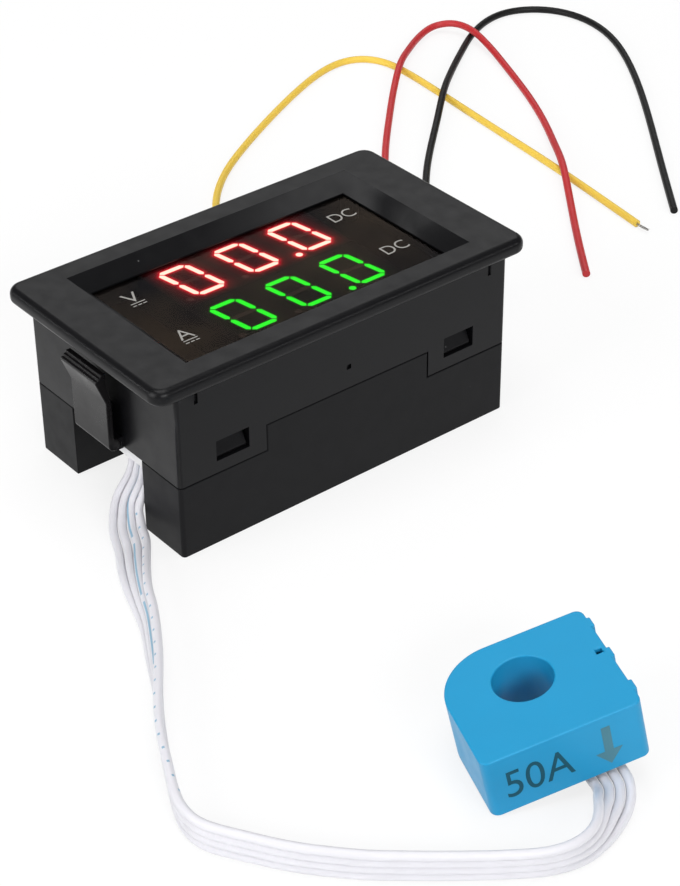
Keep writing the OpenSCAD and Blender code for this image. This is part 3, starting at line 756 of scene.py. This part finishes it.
@dataclass
class Tube:
    """A round cord that is swept along a path in metres."""

    UV = "along"

    name: str
    path: list[Vector]
    diameter: float
    sides: int = 20
    print_turn: float = 0.0
    print_twist: float = 0.0
    twist_span: Pair = (0.0, 1.0)

    def turned(self, i: int) -> float:
        """How far the print has turned around the cord.

        Args:
            i: The number of the point on the path.

        Returns:
            The turn in degrees.
        """
        start, end = self.twist_span
        share = (i / (len(self.path) - 1) - start) / (end - start)
        return self.print_turn + self.print_twist * min(1.0, max(0.0, share))

    def heading(self, i: int) -> Vector:
        """The direction of the path at the point of that number."""
        last = len(self.path) - 1
        return (self.path[min(i + 1, last)] - self.path[max(i - 1, 0)]).normalized()

    def seat(self, i: int) -> Matrix:
        """Where the ring of one point stands.

        Args:
            i: The number of the point on the path.

        Returns:
            The ring's place and turn, whose own Z looks along the path.
        """
        along = self.heading(i)
        outward = Vector((0, math.copysign(0.001, self.path[i].x), 0))
        side = (along.cross(Vector((0, 0, 1))) - outward).normalized()
        up = side.cross(along)
        turn = Matrix((side, up, along)).transposed().to_4x4()
        return Matrix.Translation(self.path[i]) @ turn @ Matrix.Rotation(math.radians(self.turned(i)), 4, "Z")

    def length(self) -> float:
        """The length of the path."""
        return sum((b - a).length for a, b in zip(self.path, self.path[1:]))

    def build(self) -> Piece:
        """Sweeps the tube by drawing a ring out from point to point.

        Returns:
            The cord's piece.
        """
        bm = bmesh.new()
        radius = self.diameter / 2
        start = bmesh.ops.create_circle(bm, segments=self.sides, radius=radius, matrix=self.seat(0))
        ring = list(start["verts"])
        edges = list({e for v in ring for e in v.link_edges})
        rounds = [ring]
        for i in range(1, len(self.path)):
            drawn = bmesh.ops.extrude_edge_only(bm, edges=edges)["geom"]
            fresh = [part for part in drawn if isinstance(part, bmesh.types.BMVert)]
            lines = [part for part in drawn if isinstance(part, bmesh.types.BMEdge)]
            edges = [line for line in lines if all(v in fresh for v in line.verts)]
            step = self.seat(i) @ self.seat(i - 1).inverted()
            bmesh.ops.transform(bm, matrix=step, verts=fresh)
            rounds.append(fresh)
        self.map_along(bm, rounds)
        bmesh.ops.holes_fill(bm, edges=bm.edges, sides=0)
        bmesh.ops.recalc_face_normals(bm, faces=bm.faces)
        piece = new_piece(self.name, bm, smooth=True)
        piece.data.set_sharp_from_angle(angle=CORD_SHARP)
        return piece

    def map_along(self, bm: Mesh, rounds: list[list[bmesh.types.BMVert]]) -> None:
        """Writes the UV map: U is the length so far in millimetres, V the share of a turn.

        Args:
            bm: The open tube.
            rounds: The vertices of each ring.
        """
        spots, total = {}, 0.0
        for i, ring in enumerate(rounds):
            if i:
                total += (self.path[i] - self.path[i - 1]).length
            for vertex in ring:
                spots[vertex] = (total / MM, self.seat(i).inverted() @ vertex.co)
        layer = bm.loops.layers.uv.new(self.UV)
        for face in bm.faces:
            turns = [math.atan2(spots[v][1].y, spots[v][1].x) / math.tau % 1.0 for v in face.verts]
            wraps = max(turns) - min(turns) > 0.5
            for loop, turn in zip(face.loops, turns):
                loop[layer].uv = (spots[loop.vert][0], turn + 1 if wraps and turn < 0.5 else turn)


@dataclass
class Leads:
    """The three power leads, which hang out of one plug at the right-hand end."""

    diameter: float = 1.7
    pitch: float = 2.0
    plug_x: float = 35.35
    exit_z: float = 12.4
    steps: int = 5
    held: int = 36
    passes: int = 14
    strands: int = 7
    strand_d: float = 0.17
    strand_steps: int = 12
    strand_turns: float = 0.7
    strand_splay: float = 0.5

    def start(self, y: float) -> list[tuple[float, ...]]:
        """The first two points of a lead, straight down out of the plug."""
        return [(self.plug_x, y, self.exit_z), (self.plug_x, y, self.exit_z - 1)]

    def routes(self) -> dict[str, list[tuple[float, ...]]]:
        """Lists where each lead runs.

        Returns:
            The points of each lead's route, in millimetres, by the lead's colour.
        """
        low = self.diameter / 2
        yellow = self.start(self.pitch) + [
            (36.4, 2.1, 8.2), (39.8, 2.5, 4.4), (44.6, 3.8, 1.9), (49.2, 6.8, low), (52.8, 11, low),
            (54, 16, low), (52, 25, low), (46, 36, low), (40, 47, low), (36.5, 58, low),
            (37, 68, low), (43, 78, low), (51, 86, low), (59, 92, low), (74, 101, low),
            (91, 110, low), (104, 115.5, low), (113, 116, low), (118, 111, low), (119, 103, low),
            (117.5, 87, low), (115, 65, low), (113, 43, low), (110.5, 25, low), (108.5, 11, low),
        ]
        red = self.start(0) + [
            (36.4, 0.1, 8.2), (40, 0.4, 4.4), (45.4, 1.4, 1.9), (51.4, 3.6, low), (56.4, 7.6, low),
            (60, 14, low), (62, 26, low), (66, 40, low), (73, 54, low), (86.5, 71, low),
            (96, 81, 1), (103.5, 89, 1), (111, 96.5, 1.6), (118.2, 103, 2.7), (127, 109.8, 1.8),
            (135, 114.8, 1.4), (140.8, 116, 1.9), (144.6, 112, 2.6), (144.6, 105.5, 2.7), (142.6, 97, 1.9),
            (139.5, 87.5, 1), (130.5, 66.5, low), (121.5, 52, 1.4), (112.6, 39, 2.7), (106, 30, 1.4),
            (99, 21, low), (92, 12, low), (85, 2.5, low),
        ]
        black = self.start(-self.pitch) + [
            (36.4, -2, 8.2), (40.2, -1.9, 4.4), (46, -1.4, 1.9), (52.6, -0.2, low),
            (58.6, 2.8, low), (64, 9, low), (68, 20, low), (71, 32, low), (77, 45, low), (87, 57, low),
            (96, 66, 1), (106, 75, 1.6), (116.3, 84.6, 2.7), (127, 93.8, 1.6), (136.5, 101, 0.9),
            (145, 107, low), (153.5, 111, low), (161.5, 112, low), (169, 108, low), (174, 100, low),
            (173.5, 87, low), (166, 72, low), (153.5, 54, low), (138.5, 35, low), (127.5, 21, low),
            (119, 10, low),
        ]
        return {"yellow": yellow, "red": red, "black": black}

    def strand_path(self, number: int) -> list[Vector]:
        """Leads one bare strand out of the yellow lead.

        Args:
            number: The strand's number. Strand 0 runs straight and the others twist around it.

        Returns:
            The strand's path in metres.
        """
        places = ((108.5, 11), (108.3, 9.6), (108.4, 7.5))
        first, middle, last = (millimetres(x, y, self.diameter / 2) for x, y in places)
        reach = self.strand_d * MM if number else 0.0
        path = []
        for step in range(self.strand_steps + 1):
            share = step / self.strand_steps
            at = first.lerp(middle, share * 2) if share < 0.5 else middle.lerp(last, share * 2 - 1)
            turn = math.tau * (number / (self.strands - 1) + self.strand_turns * share)
            splay = reach * (1 + self.strand_splay * share * (number % 3))
            at = at + Vector((math.cos(turn), 0, math.sin(turn))) * splay
            path.append(Vector((at.x, at.y, max(at.z, self.strand_d * MM / 2))))
        return path

    def bare_end(self, tinned: Material) -> list[Piece]:
        """Twists the bare tinned strands that stand out of the yellow lead.

        Args:
            tinned: The strands' material.

        Returns:
            The strands' pieces.
        """
        pieces = []
        for i in range(self.strands):
            piece = Tube(f"bare_strand_{i + 1}", self.strand_path(i), self.strand_d * MM, sides=8).build()
            dress(piece, tinned)
            pieces.append(piece)
        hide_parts("yellow_strand")
        return pieces

    def build(self, finishes: Finishes, plug: Piece) -> None:
        """Makes the leads and adds the bare tinned end.

        Args:
            finishes: The materials by name.
            plug: The plug that the leads come out of.
        """
        extra = {"yellow": self.bare_end(finishes["strand_copper"]), "red": [plug], "black": []}
        for colour, route in self.routes().items():
            path = settled(smooth_route([Vector(p) for p in route], self.steps), self.diameter / 2)
            node = f"{colour}_lead"
            tube = Tube(f"{node}_insulation", relaxed(path, self.held, self.passes), self.diameter * MM)
            lay_cord(tube, node, finishes[node])


@dataclass
class Ribbon:
    """The four-core ribbon from the plug at the left-hand end to the current sensor."""

    PRINTS = {3: "core_dashes", 4: "core_dots"}

    cores: int = 4
    core_d: float = 1.6
    pitch: float = 1.7
    plug_x: float = -35.35
    plug_y: float = -6.975
    exit_z: float = 12.4
    steps: int = 5
    print_turn: float = -135.0
    print_twist: float = 150.0
    twist_span: Pair = (0.4, 0.52)

    def route(self) -> list[tuple[float, ...]]:
        """Lists where the ribbon runs.

        Returns:
            For each point the ribbon's middle in millimetres, the direction and the lean of its width
            in degrees, and how far its cores spread.
        """
        start = (self.plug_x, self.plug_y)
        return [
            (*start, self.exit_z, -90, 0, 1.03), (*start, self.exit_z - 1, -90, 0, 1.03),
            (-36.4, -7.1, 8.2, -88, 0, 1.03), (-39.3, -7.6, 4.6, -76, 2, 1.05),
            (-42, -11.1, 2.4, -51, 14, 1.09), (-44.3, -16, 1.9, -33, 22, 1.05),
            (-47, -20.4, 2.1, -30, 30, 1.02), (-49.8, -25.4, 2.7, -27, 46, 1),
            (-52.4, -30.8, 3.1, -25, 64, 1), (-54.8, -36.2, 3.2, -27, 70, 1),
            (-58.8, -43.3, 3.25, -30, 74, 1), (-62.8, -50.1, 3.35, -32, 84, 1),
            (-67.1, -56.5, 3.35, -32, 92, 1), (-71, -63, 3.35, -29, 96, 1),
            (-74.4, -69.6, 3.35, -27, 95, 1), (-77.1, -75.1, 3.35, -22, 95, 1),
            (-78.5, -79.6, 3.35, -6, 96, 1), (-78.1, -84.2, 3.35, 20, 97, 1),
            (-74.5, -90.5, 3.35, 32, 98, 1), (-70, -97, 3.3, 39, 99, 1),
            (-64, -103.7, 3.3, 44, 100, 1), (-59.3, -107.9, 3.3, 49, 101, 1),
            (-53.8, -112.5, 3.3, 51, 101, 1), (-48, -117, 3.3, 54, 102, 1),
            (-42.6, -120.7, 3.3, 61, 101, 1), (-38.5, -122.3, 3.35, 77, 97, 1),
            (-34.7, -122.5, 3.35, 96, 88, 1.01), (-31.3, -121.5, 3.2, 114, 74, 1.02),
            (-27.8, -119.6, 3, 127, 50, 1.04), (-24.4, -117.3, 2.6, 142, 18, 1.04),
            (-22.1, -114.8, 2.45, 157, -7, 1.02), (-20.93, -111.59, 2.48, 160, -12, 1.02),
        ]

    def core_path(self, shift: float) -> list[Vector]:
        """The path of one core, moved along the ribbon's leaning width.

        Args:
            shift: The core's distance from the ribbon's middle, in millimetres.

        Returns:
            The path in metres.
        """
        path = []
        for here in smooth_route([Vector(p) for p in self.route()], self.steps):
            turn, lean = math.radians(here[3]), math.radians(here[4])
            width = Vector((math.cos(lean) * math.cos(turn), math.cos(lean) * math.sin(turn), math.sin(lean)))
            path.append(Vector(here[:3]) + width * shift * here[5])
        return settled(path, self.core_d / 2)

    def build(self, finishes: Finishes, plug: Piece) -> None:
        """Makes the cores.

        Args:
            finishes: The materials by name.
            plug: The plug that the ribbon comes out of. It is not used.
        """
        for number in range(1, self.cores + 1):
            tube = Tube(
                f"sensor_core_{number}", self.core_path((number - (self.cores + 1) / 2) * self.pitch),
                self.core_d * MM, print_turn=self.print_turn, print_twist=self.print_twist,
                twist_span=self.twist_span,
            )
            finish = finishes[self.PRINTS.get(number, "core_plain")]
            lay_cord(tube, f"sensor_wire_{number}", finish)


# ---------- mouldings ----------


@dataclass
class Extent:
    """A piece's box in its own frame, where inward turns the row frame into it."""

    inward: Matrix
    low: Vector
    high: Vector

    @classmethod
    def of(cls, bm: Mesh, own_frame: Matrix | None) -> "Extent":
        """Measures a mesh.

        Args:
            bm: The mesh.
            own_frame: Turns the piece's own frame into the row frame, where the piece has one.

        Returns:
            The box.
        """
        inward = own_frame.inverted() if own_frame else Matrix.Identity(4)
        places = [inward @ v.co for v in bm.verts]
        low = Vector([min(p[axis] for p in places) for axis in range(3)])
        high = Vector([max(p[axis] for p in places) for axis in range(3)])
        return cls(inward, low, high)

    def outside(self, at: Vector, skin: float) -> bool:
        """Whether a point lies close to one of the box's six sides.

        Args:
            at: The point.
            skin: How far in from a side still counts as close, in millimetres.

        Returns:
            True for a point close to a side.
        """
        place = self.inward @ at
        depth = [min(place[axis] - self.low[axis], self.high[axis] - place[axis]) for axis in range(3)]
        return min(depth) < skin * MM


@dataclass
class SoftEdged:
    """A rigid piece with the form of its CAD node and small rounds along its outer edges."""

    SHARP = math.radians(38)
    SHADED_SHARP = math.radians(35)
    ROLL_SEGMENTS = 5

    node: str
    name: str
    round_r: float
    body: str = METER
    segments: int = 3
    skin: float = 0.25
    own_frame: Matrix | None = None
    rolled_z: float | None = None
    rolled_r: float = 1.0
    rolled_skin: float = 1.0

    def sharp_edges(self, bm: Mesh, extent: Extent, skin: float) -> list[bmesh.types.BMEdge]:
        """The piece's sharp edges that lie on its outside.

        Args:
            bm: The piece's mesh.
            extent: The piece's box.
            skin: How far in from its box an edge still counts as outside, in millimetres.

        Returns:
            The edges that get a round.
        """
        sharp = [e for e in bm.edges if len(e.link_faces) == 2 and e.calc_face_angle(0.0) > self.SHARP]
        return [e for e in sharp if all(extent.outside(v.co, skin) for v in e.verts)]

    def roll(self, bm: Mesh, extent: Extent) -> None:
        """Rolls the lower outer edge of a rim.

        Args:
            bm: The piece's mesh.
            extent: The piece's box.
        """
        around = self.sharp_edges(bm, extent, self.rolled_skin)
        lower = [e for e in around if all(abs(v.co.z / MM - self.rolled_z) < 0.01 for v in e.verts)]
        bmesh.ops.bevel(
            bm, geom=lower, offset=self.rolled_r * MM, segments=self.ROLL_SEGMENTS, profile=0.5,
            affect="EDGES", clamp_overlap=False, material=-1,
        )

    def build(self, material: Material, slot: str) -> Piece:
        """Makes the piece and lets it stand for its node.

        Args:
            material: The piece's material.
            slot: The record's material slot. It is not used.

        Returns:
            The piece.
        """
        bm = merged_mesh(self.node)
        extent = Extent.of(bm, self.own_frame)
        if self.rolled_z is not None:
            self.roll(bm, extent)
        weight = bm.edges.layers.float.new("bevel_weight_edge")
        for edge in self.sharp_edges(bm, extent, self.skin):
            edge[weight] = 1.0
        piece = new_piece(self.name, bm, self.body, smooth=True)
        bevel = piece.modifiers.new("rounds", "BEVEL")
        bevel.limit_method = "WEIGHT"
        bevel.width = self.round_r * MM
        bevel.segments = self.segments
        bevel.use_clamp_overlap = True
        piece.data.set_sharp_from_angle(angle=self.SHADED_SHARP)
        flat = piece.modifiers.new("flat_faces", "WEIGHTED_NORMAL")
        flat.keep_sharp = True
        flat.weight = 100
        dress(piece, material)
        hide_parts(self.node)
        log.info("%s stands for %s", self.name, self.node)
        return piece


@dataclass
class Housing:
    """Front shell, rear cover, spring arms and window."""

    edge_r: float = 0.18
    arm_edge_r: float = 0.14
    rim_z: float = 33.9

    def build(self, finishes: Finishes) -> None:
        """Makes the housing's pieces.

        Args:
            finishes: The materials by name.
        """
        shell = SoftEdged("front_shell", "bezel_and_shell", self.edge_r, rolled_z=self.rim_z)
        shell.build(finishes["shell"], "black_plastic")
        SoftEdged("rear_cover", "cover_moulding", self.edge_r).build(finishes["cover"], "cover_plastic")
        for side in ("left", "right"):
            arm = SoftEdged(f"{side}_spring_arm", f"{side}_arm_moulding", self.arm_edge_r, f"{side}_arm")
            arm.build(finishes["arm"], "arm_plastic")
        dress_node("filter_window", finishes["window"])


@dataclass
class Connectors:
    """Sockets, plugs and their contacts in the two cable recesses."""

    HOUSINGS = ("sensor_plug", "power_plug", "sensor_header", "power_header")

    edge_r: float = 0.1
    edge_segments: int = 2

    def build(self, finishes: Finishes) -> dict[str, Piece]:
        """Makes the connectors' pieces.

        Args:
            finishes: The materials by name.

        Returns:
            The plugs' and sockets' pieces, by their nodes' names.
        """
        pieces = {}
        for node in self.HOUSINGS:
            moulding = SoftEdged(node, f"{node}_moulding", self.edge_r, segments=self.edge_segments)
            pieces[node] = moulding.build(finishes["connector"], "connector_white")
        for node in ("sensor_header_pins", "power_header_pins"):
            dress_node(node, finishes["pins"])
        return pieces


@dataclass
class SegmentGlow:
    """The lit segments of one row, and the soft halo that they throw on the display's face."""

    ATTRIBUTE = "glow"
    EDGE_GLOW = 1.2
    CORE_GLOW = 3.0

    node: str
    face: str
    name: str
    slot: str
    rim: float = 0.1
    near_reach: float = 0.5
    far_reach: float = 1.3
    far_share: float = 0.22
    fade: float = 1.5
    cell: float = 0.2
    lift: float = 0.02

    def build(self, material: Material) -> Piece:
        """Makes the glow from the tops of the CAD node's segments.

        Args:
            material: The lamp material.

        Returns:
            The piece.
        """
        bm = merged_mesh(self.node)
        top = max(v.co.z for v in bm.verts)
        lids = [f for f in bm.faces if all(v.co.z > top - 0.01 * MM for v in f.verts)]
        bmesh.ops.delete(bm, geom=[f for f in bm.faces if f not in lids], context="FACES")
        lids = list(bm.faces)
        glow = bm.verts.layers.float.new(self.ATTRIBUTE)
        segments = BVHTree.FromBMesh(bm)
        for vertex in bm.verts:
            vertex[glow] = self.EDGE_GLOW
        bmesh.ops.inset_individual(bm, faces=lids, thickness=self.rim * MM, use_even_offset=True)
        for face in lids:
            for vertex in face.verts:
                vertex[glow] = self.CORE_GLOW
        bmesh.ops.translate(bm, vec=(0, 0, self.lift * MM), verts=bm.verts)
        self.halo(bm, segments, top + self.lift / 2 * MM, glow)
        return finished_piece(self.name, bm, material)

    def halo(self, bm: Mesh, segments: BVHTree, z: float, glow: bmesh.types.BMLayerItem) -> None:
        """Lays a fine sheet over the face whose glow fades with the distance from the segments.

        Args:
            bm: The mesh that gets the sheet.
            segments: The lit faces, to measure from.
            z: The sheet's height, in metres.
            glow: The attribute's layer.
        """
        low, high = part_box(self.face)
        size = high - low
        columns, rows = (max(2, round(length / (self.cell * MM))) for length in (size.x, size.y))
        middle = Matrix.Translation(((low.x + high.x) / 2, (low.y + high.y) / 2, z))
        sized = middle @ Matrix.Diagonal((size.x, size.y, 1, 1))
        sheet = bmesh.ops.create_grid(bm, x_segments=columns, y_segments=rows, size=0.5, matrix=sized)
        for vertex in sheet["verts"]:
            away = segments.find_nearest(vertex.co)[3] / MM
            near = (1 - self.far_share) * math.exp(-((away / self.near_reach) ** 2))
            x, y = vertex.co.xy
            edge = min(x - low.x, high.x - x, y - low.y, high.y - y) / MM
            share = min(1.0, edge / self.fade)
            vertex[glow] = (near + self.far_share * math.exp(-away / self.far_reach)) * share


@dataclass
class Printed:
    """Flat lettering or a sign that is printed on a face."""

    name: str
    words: str
    height: float
    width: float
    slot: str
    thinner: float = 0.0
    smoothness: int = 6

    def build(self, place: Matrix, material: Material) -> Piece:
        """Sets the words, stretches them to their box and lays them in place.

        Args:
            place: Turns the words' plane into the row frame. Its origin is their lower left corner.
            material: The ink.

        Returns:
            The piece.
        """
        curve = bpy.data.curves.new(self.name, "FONT")
        curve.body = self.words
        curve.resolution_u = self.smoothness
        curve.offset = self.thinner
        words = bpy.data.objects.new(self.name, curve)
        bpy.context.scene.collection.objects.link(words)
        bpy.context.view_layer.update()
        bm = bmesh.new()
        bm.from_mesh(words.to_mesh())
        words.to_mesh_clear()
        bpy.data.objects.remove(words)
        low = Vector((min(v.co.x for v in bm.verts), min(v.co.y for v in bm.verts), 0))
        high = Vector((max(v.co.x for v in bm.verts), max(v.co.y for v in bm.verts), 0))
        size = Vector((self.width / (high.x - low.x), self.height / (high.y - low.y), 1)) * MM
        bmesh.ops.translate(bm, vec=-low, verts=bm.verts)
        bmesh.ops.scale(bm, vec=size, verts=bm.verts)
        bmesh.ops.transform(bm, matrix=place, verts=bm.verts)
        return finished_piece(self.name, bm, material)


@dataclass
class Display:
    """Digits, their dark face and the signs that are printed on the window."""

    SLOT = "smoked_window"
    DASHES = 3

    ink_lift: float = 0.03
    thinner: float = -0.006
    letter_w: float = 3.1
    letter_h: float = 3.3
    letter_x: float = -26.05
    volt_y: float = 8.0
    ampere_y: float = -8.2
    unit_x: float = 21.3
    unit_w: float = 5.5
    unit_h: float = 3.0
    unit_places: Pair = (7.45, -8.35)
    line_t: float = 0.25
    line_drop: float = 0.6
    dash_drop: float = 1.4
    dash_w: float = 0.8
    dash_pitch: float = 1.1
    green_reach: float = 0.18
    green_share: float = 0.08

    def print_words(self, name: str, words: str, at: Point, size: Pair, ink: Material) -> None:
        """Prints a sign on the window.

        Args:
            name: The piece's name.
            words: What it says.
            at: Its lower left corner, in millimetres.
            size: Its width and height, in millimetres.
            ink: The ink.
        """
        place = Matrix.Translation(millimetres(*at))
        Printed(name, words, size[1], size[0], self.SLOT, self.thinner).build(place, ink)

    def underline(self, name: str, y: float, z: float, ink: Material) -> None:
        """Prints the direct-current sign: one bar over three dashes.

        Args:
            name: The piece's name.
            y: The lower edge of the letter above it, in millimetres.
            z: The printed plane, in millimetres.
            ink: The ink.
        """
        bm = bmesh.new()
        bars = [(self.letter_x, y - self.line_drop, self.letter_w)]
        for i in range(self.DASHES):
            bars.append((self.letter_x + i * self.dash_pitch, y - self.dash_drop, self.dash_w))
        for x, foot, length in bars:
            add_rectangle(bm, (x, foot), (x + length, foot + self.line_t), z)
        finished_piece(name, bm, ink)

    def light(self, finishes: Finishes) -> None:
        """Lights the digits and dresses their pockets, dark segments and faces.

        Args:
            finishes: The materials by name.
        """
        red = SegmentGlow("voltage_segments", "voltage_display", "voltage_glow", "red_segments")
        red.build(finishes["red_lamp"])
        green = SegmentGlow(
            "current_segments", "current_display", "current_glow", "green_segments",
            near_reach=self.green_reach, far_share=self.green_share,
        )
        green.build(finishes["green_lamp"])
        for row, epoxy in (("voltage", "red_epoxy"), ("current", "green_epoxy")):
            dress_node(f"{row}_segments", finishes[epoxy])
            dress_node(f"{row}_dark_segments", finishes["dark_epoxy"])
            dress_node(f"{row}_display", finishes["display_face"])

    def build(self, finishes: Finishes) -> None:
        """Lights the digits and prints the signs.

        Args:
            finishes: The materials by name.
        """
        self.light(finishes)
        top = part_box("filter_window")[1].z / MM + self.ink_lift
        ink = finishes["window_ink"]
        for name, words, y in (("volt_sign", "V", self.volt_y), ("ampere_sign", "A", self.ampere_y)):
            self.print_words(name, words, (self.letter_x, y, top), (self.letter_w, self.letter_h), ink)
            self.underline(f"{name}_underline", y, top, ink)
        for i, y in enumerate(self.unit_places):
            at = (self.unit_x, y, top)
            self.print_words(f"direct_current_{i + 1}", "DC", at, (self.unit_w, self.unit_h), ink)


class Electronics:
    """Boards and the parts on them, inside the housing."""

    FINISH_OF = {
        "display_board": "dark_board", "main_board": "board",
        "display_screws": "steel", "board_screws": "steel",
        "display_driver": "chip", "microcontroller": "chip", "voltage_regulator": "chip", "resistors": "chip",
        "board_header": "chip", "board_pins": "pins", "capacitors": "sleeve", "trimmers": "trimmer",
    }

    def build(self, finishes: Finishes) -> None:
        """Dresses the parts."""
        for node, finish in self.FINISH_OF.items():
            dress_node(node, finishes[finish])


@dataclass
class CurrentSensor:
    """The blue case with its ring core inside, its four pins and its marks."""

    SLOT = "sensor_blue"
    FINISH_OF = {
        "sensor_base": "potting", "sensor_core": "ferrite", "hall_element": "chip",
        "sensor_board": "board", "sensor_pins": "steel",
    }

    corner: Point = (-39.7, -106.7, 0.0)
    turn: float = -20.3
    tilt: float = 12.0
    words_at: Pair = (3.1, 2.9)
    words_size: Pair = (11.3, 5.6)
    arrow_x: float = 20.3
    arrow_top: float = 9.6
    arrow_tip: float = 1.6
    shaft_w: float = 1.5
    head_w: float = 4.6
    head_h: float = 2.9
    ink_lift: float = 0.03
    edge_r: float = 0.35
    edge_segments: int = 4

    def place(self) -> Matrix:
        """Where the case stands.

        Returns:
            What turns the case's own frame, at its front left lower corner, into the row frame.
        """
        turned = Matrix.Rotation(math.radians(self.turn), 4, "Z")
        tilted = turned @ Matrix.Rotation(-math.radians(self.tilt), 4, "Y")
        return Matrix.Translation(millimetres(*self.corner)) @ tilted

    def front(self) -> Matrix:
        """What turns a plane with its X along the front face and its Y up it into the row frame."""
        lift = Matrix.Translation((0, -self.ink_lift * MM, 0))
        return self.place() @ lift @ Matrix.Rotation(math.pi / 2, 4, "X")

    def arrow(self, ink: Material) -> None:
        """Prints the arrow that shows the current's direction.

        Args:
            ink: The ink.
        """
        neck = self.arrow_tip + self.head_h
        half = self.shaft_w / 2
        bm = bmesh.new()
        add_rectangle(bm, (self.arrow_x - half, neck), (self.arrow_x + half, self.arrow_top), 0)
        round_r = self.head_h / 1.5
        sized = Matrix.Diagonal((self.head_w / math.sqrt(3) * MM, round_r * MM, 1, 1))
        head = Matrix.Translation(millimetres(self.arrow_x, self.arrow_tip + round_r, 0)) @ sized
        pointing = head @ Matrix.Rotation(math.pi, 4, "Z")
        bmesh.ops.create_circle(bm, cap_ends=True, segments=3, radius=1, matrix=pointing)
        bmesh.ops.transform(bm, matrix=self.front(), verts=bm.verts)
        bmesh.ops.recalc_face_normals(bm, faces=bm.faces)
        finished_piece("direction_arrow", bm, ink)

    def build(self, finishes: Finishes) -> None:
        """Makes the sensor's pieces.

        Args:
            finishes: The materials by name.
        """
        case = SoftEdged(
            "sensor_case", "sensor_case_moulding", self.edge_r,
            segments=self.edge_segments, own_frame=self.place(),
        )
        case.build(finishes["sensor"], self.SLOT)
        place = self.front() @ Matrix.Translation(millimetres(*self.words_at, 0))
        width, height = self.words_size
        Printed("rating", "50A", height, width, self.SLOT).build(place, finishes["sensor_ink"])
        self.arrow(finishes["arrow_ink"])
        for node, finish in self.FINISH_OF.items():
            dress_node(node, finishes[finish])


def all_finishes() -> Finishes:
    """Builds every material once.

    Returns:
        The materials, by the name that the pieces ask for.
    """
    white_core = (0.69, 0.685, 0.725)
    return {
        "shell": Moulding("satin_shell", (0.004, 0.004, 0.0048), 0.33, 0.18, dust=0.4).make(),
        "cover": Moulding("satin_cover", (0.005, 0.005, 0.0058), 0.42, 0.13, dust=0.3).make(),
        "arm": Moulding("glossy_arm", (0.0065, 0.006, 0.0065), 0.3, 0.2).make(),
        "window": SmokedWindow("smoked_window", (0.55, 0.45, 0.4)).make(),
        "window_ink": Moulding("pale_ink", (0.33, 0.32, 0.3), 0.6, 0.1).make(),
        "display_face": Moulding("display_face", (0.006, 0.005, 0.005), 0.6, 0.05, grain_depth=0).make(),
        "dark_epoxy": Moulding("dark_epoxy", (0.03, 0.022, 0.02), 0.5, 0.2).make(),
        "red_epoxy": Moulding("red_epoxy", (0.4, 0.02, 0.02), 0.5, 0.2).make(),
        "green_epoxy": Moulding("green_epoxy", (0.01, 0.3, 0.02), 0.5, 0.2).make(),
        "red_lamp": Lamp("red_lamp", (0.95, 1.0, 0.88), (0.8, 0.14, 0.17), (0.5, 0.003, 0.02)).make(),
        "green_lamp": Lamp("green_lamp", (0.01, 0.76, 0.02), (0.001, 0.4, 0.006), (0.0, 0.06, 0.0)).make(),
        "connector": Moulding("white_nylon", (0.67, 0.67, 0.68), 0.45, 0.4, 0.04).make(),
        "yellow_lead": Insulation("yellow_insulation", (0.79, 0.54, 0.067)).make(),
        "red_lead": Insulation("red_insulation", (0.48, 0.02, 0.024)).make(),
        "black_lead": Insulation("black_insulation", (0.006, 0.006, 0.006), gloss=0.2).make(),
        "strand_copper": Metal("tinned_copper", (0.55, 0.54, 0.52)).make(),
        "core_plain": Insulation("white_core", white_core).make(),
        "core_dashes": Insulation("dashed_core", white_core, Marking.DASHES).make(),
        "core_dots": Insulation("dotted_core", white_core, Marking.DOTS).make(),
        "sensor": Moulding("blue_case", (0.012, 0.27, 0.51), 0.38, 0.25, 0.03).make(),
        "sensor_ink": Moulding("dark_ink", (0.012, 0.08, 0.12), 0.6, 0.1).make(),
        "arrow_ink": Moulding("grey_ink", (0.07, 0.2, 0.26), 0.6, 0.1).make(),
        "potting": Moulding("potting", (0.015, 0.015, 0.016), 0.5, 0.3).make(),
        "ferrite": Moulding("ferrite", (0.05, 0.05, 0.052), 0.55, 0.4).make(),
        "chip": Moulding("chip_epoxy", (0.015, 0.015, 0.016), 0.5, 0.3).make(),
        "sleeve": Moulding("capacitor_sleeve", (0.03, 0.04, 0.2), 0.3, 0.5).make(),
        "trimmer": Moulding("trimmer_blue", (0.02, 0.1, 0.45), 0.4, 0.4).make(),
        "board": Laminate("green_laminate", (0.008, 0.09, 0.035)).make(),
        "dark_board": Laminate("dark_laminate", (0.014, 0.011, 0.007)).make(),
        "steel": Metal("plain_steel", (0.62, 0.62, 0.62), 0.35).make(),
        "pins": Metal("plated_pins", (0.85, 0.66, 0.35), 0.25).make(),
    }


def main() -> None:
    """Builds the scene: the camera, the plugs and their cords, the other pieces, the floor, the light."""
    logging.basicConfig(level=logging.INFO, format="%(name)s: %(message)s")
    studio = Studio()
    studio.camera()
    finishes = all_finishes()
    connectors = Connectors().build(finishes)
    Leads().build(finishes, connectors["power_plug"])
    Ribbon().build(finishes, connectors["sensor_plug"])
    for assembly in (Housing(), Display(), Electronics(), CurrentSensor()):
        assembly.build(finishes)
    studio.floor()
    studio.light()


if __name__ == "__main__":
    main()
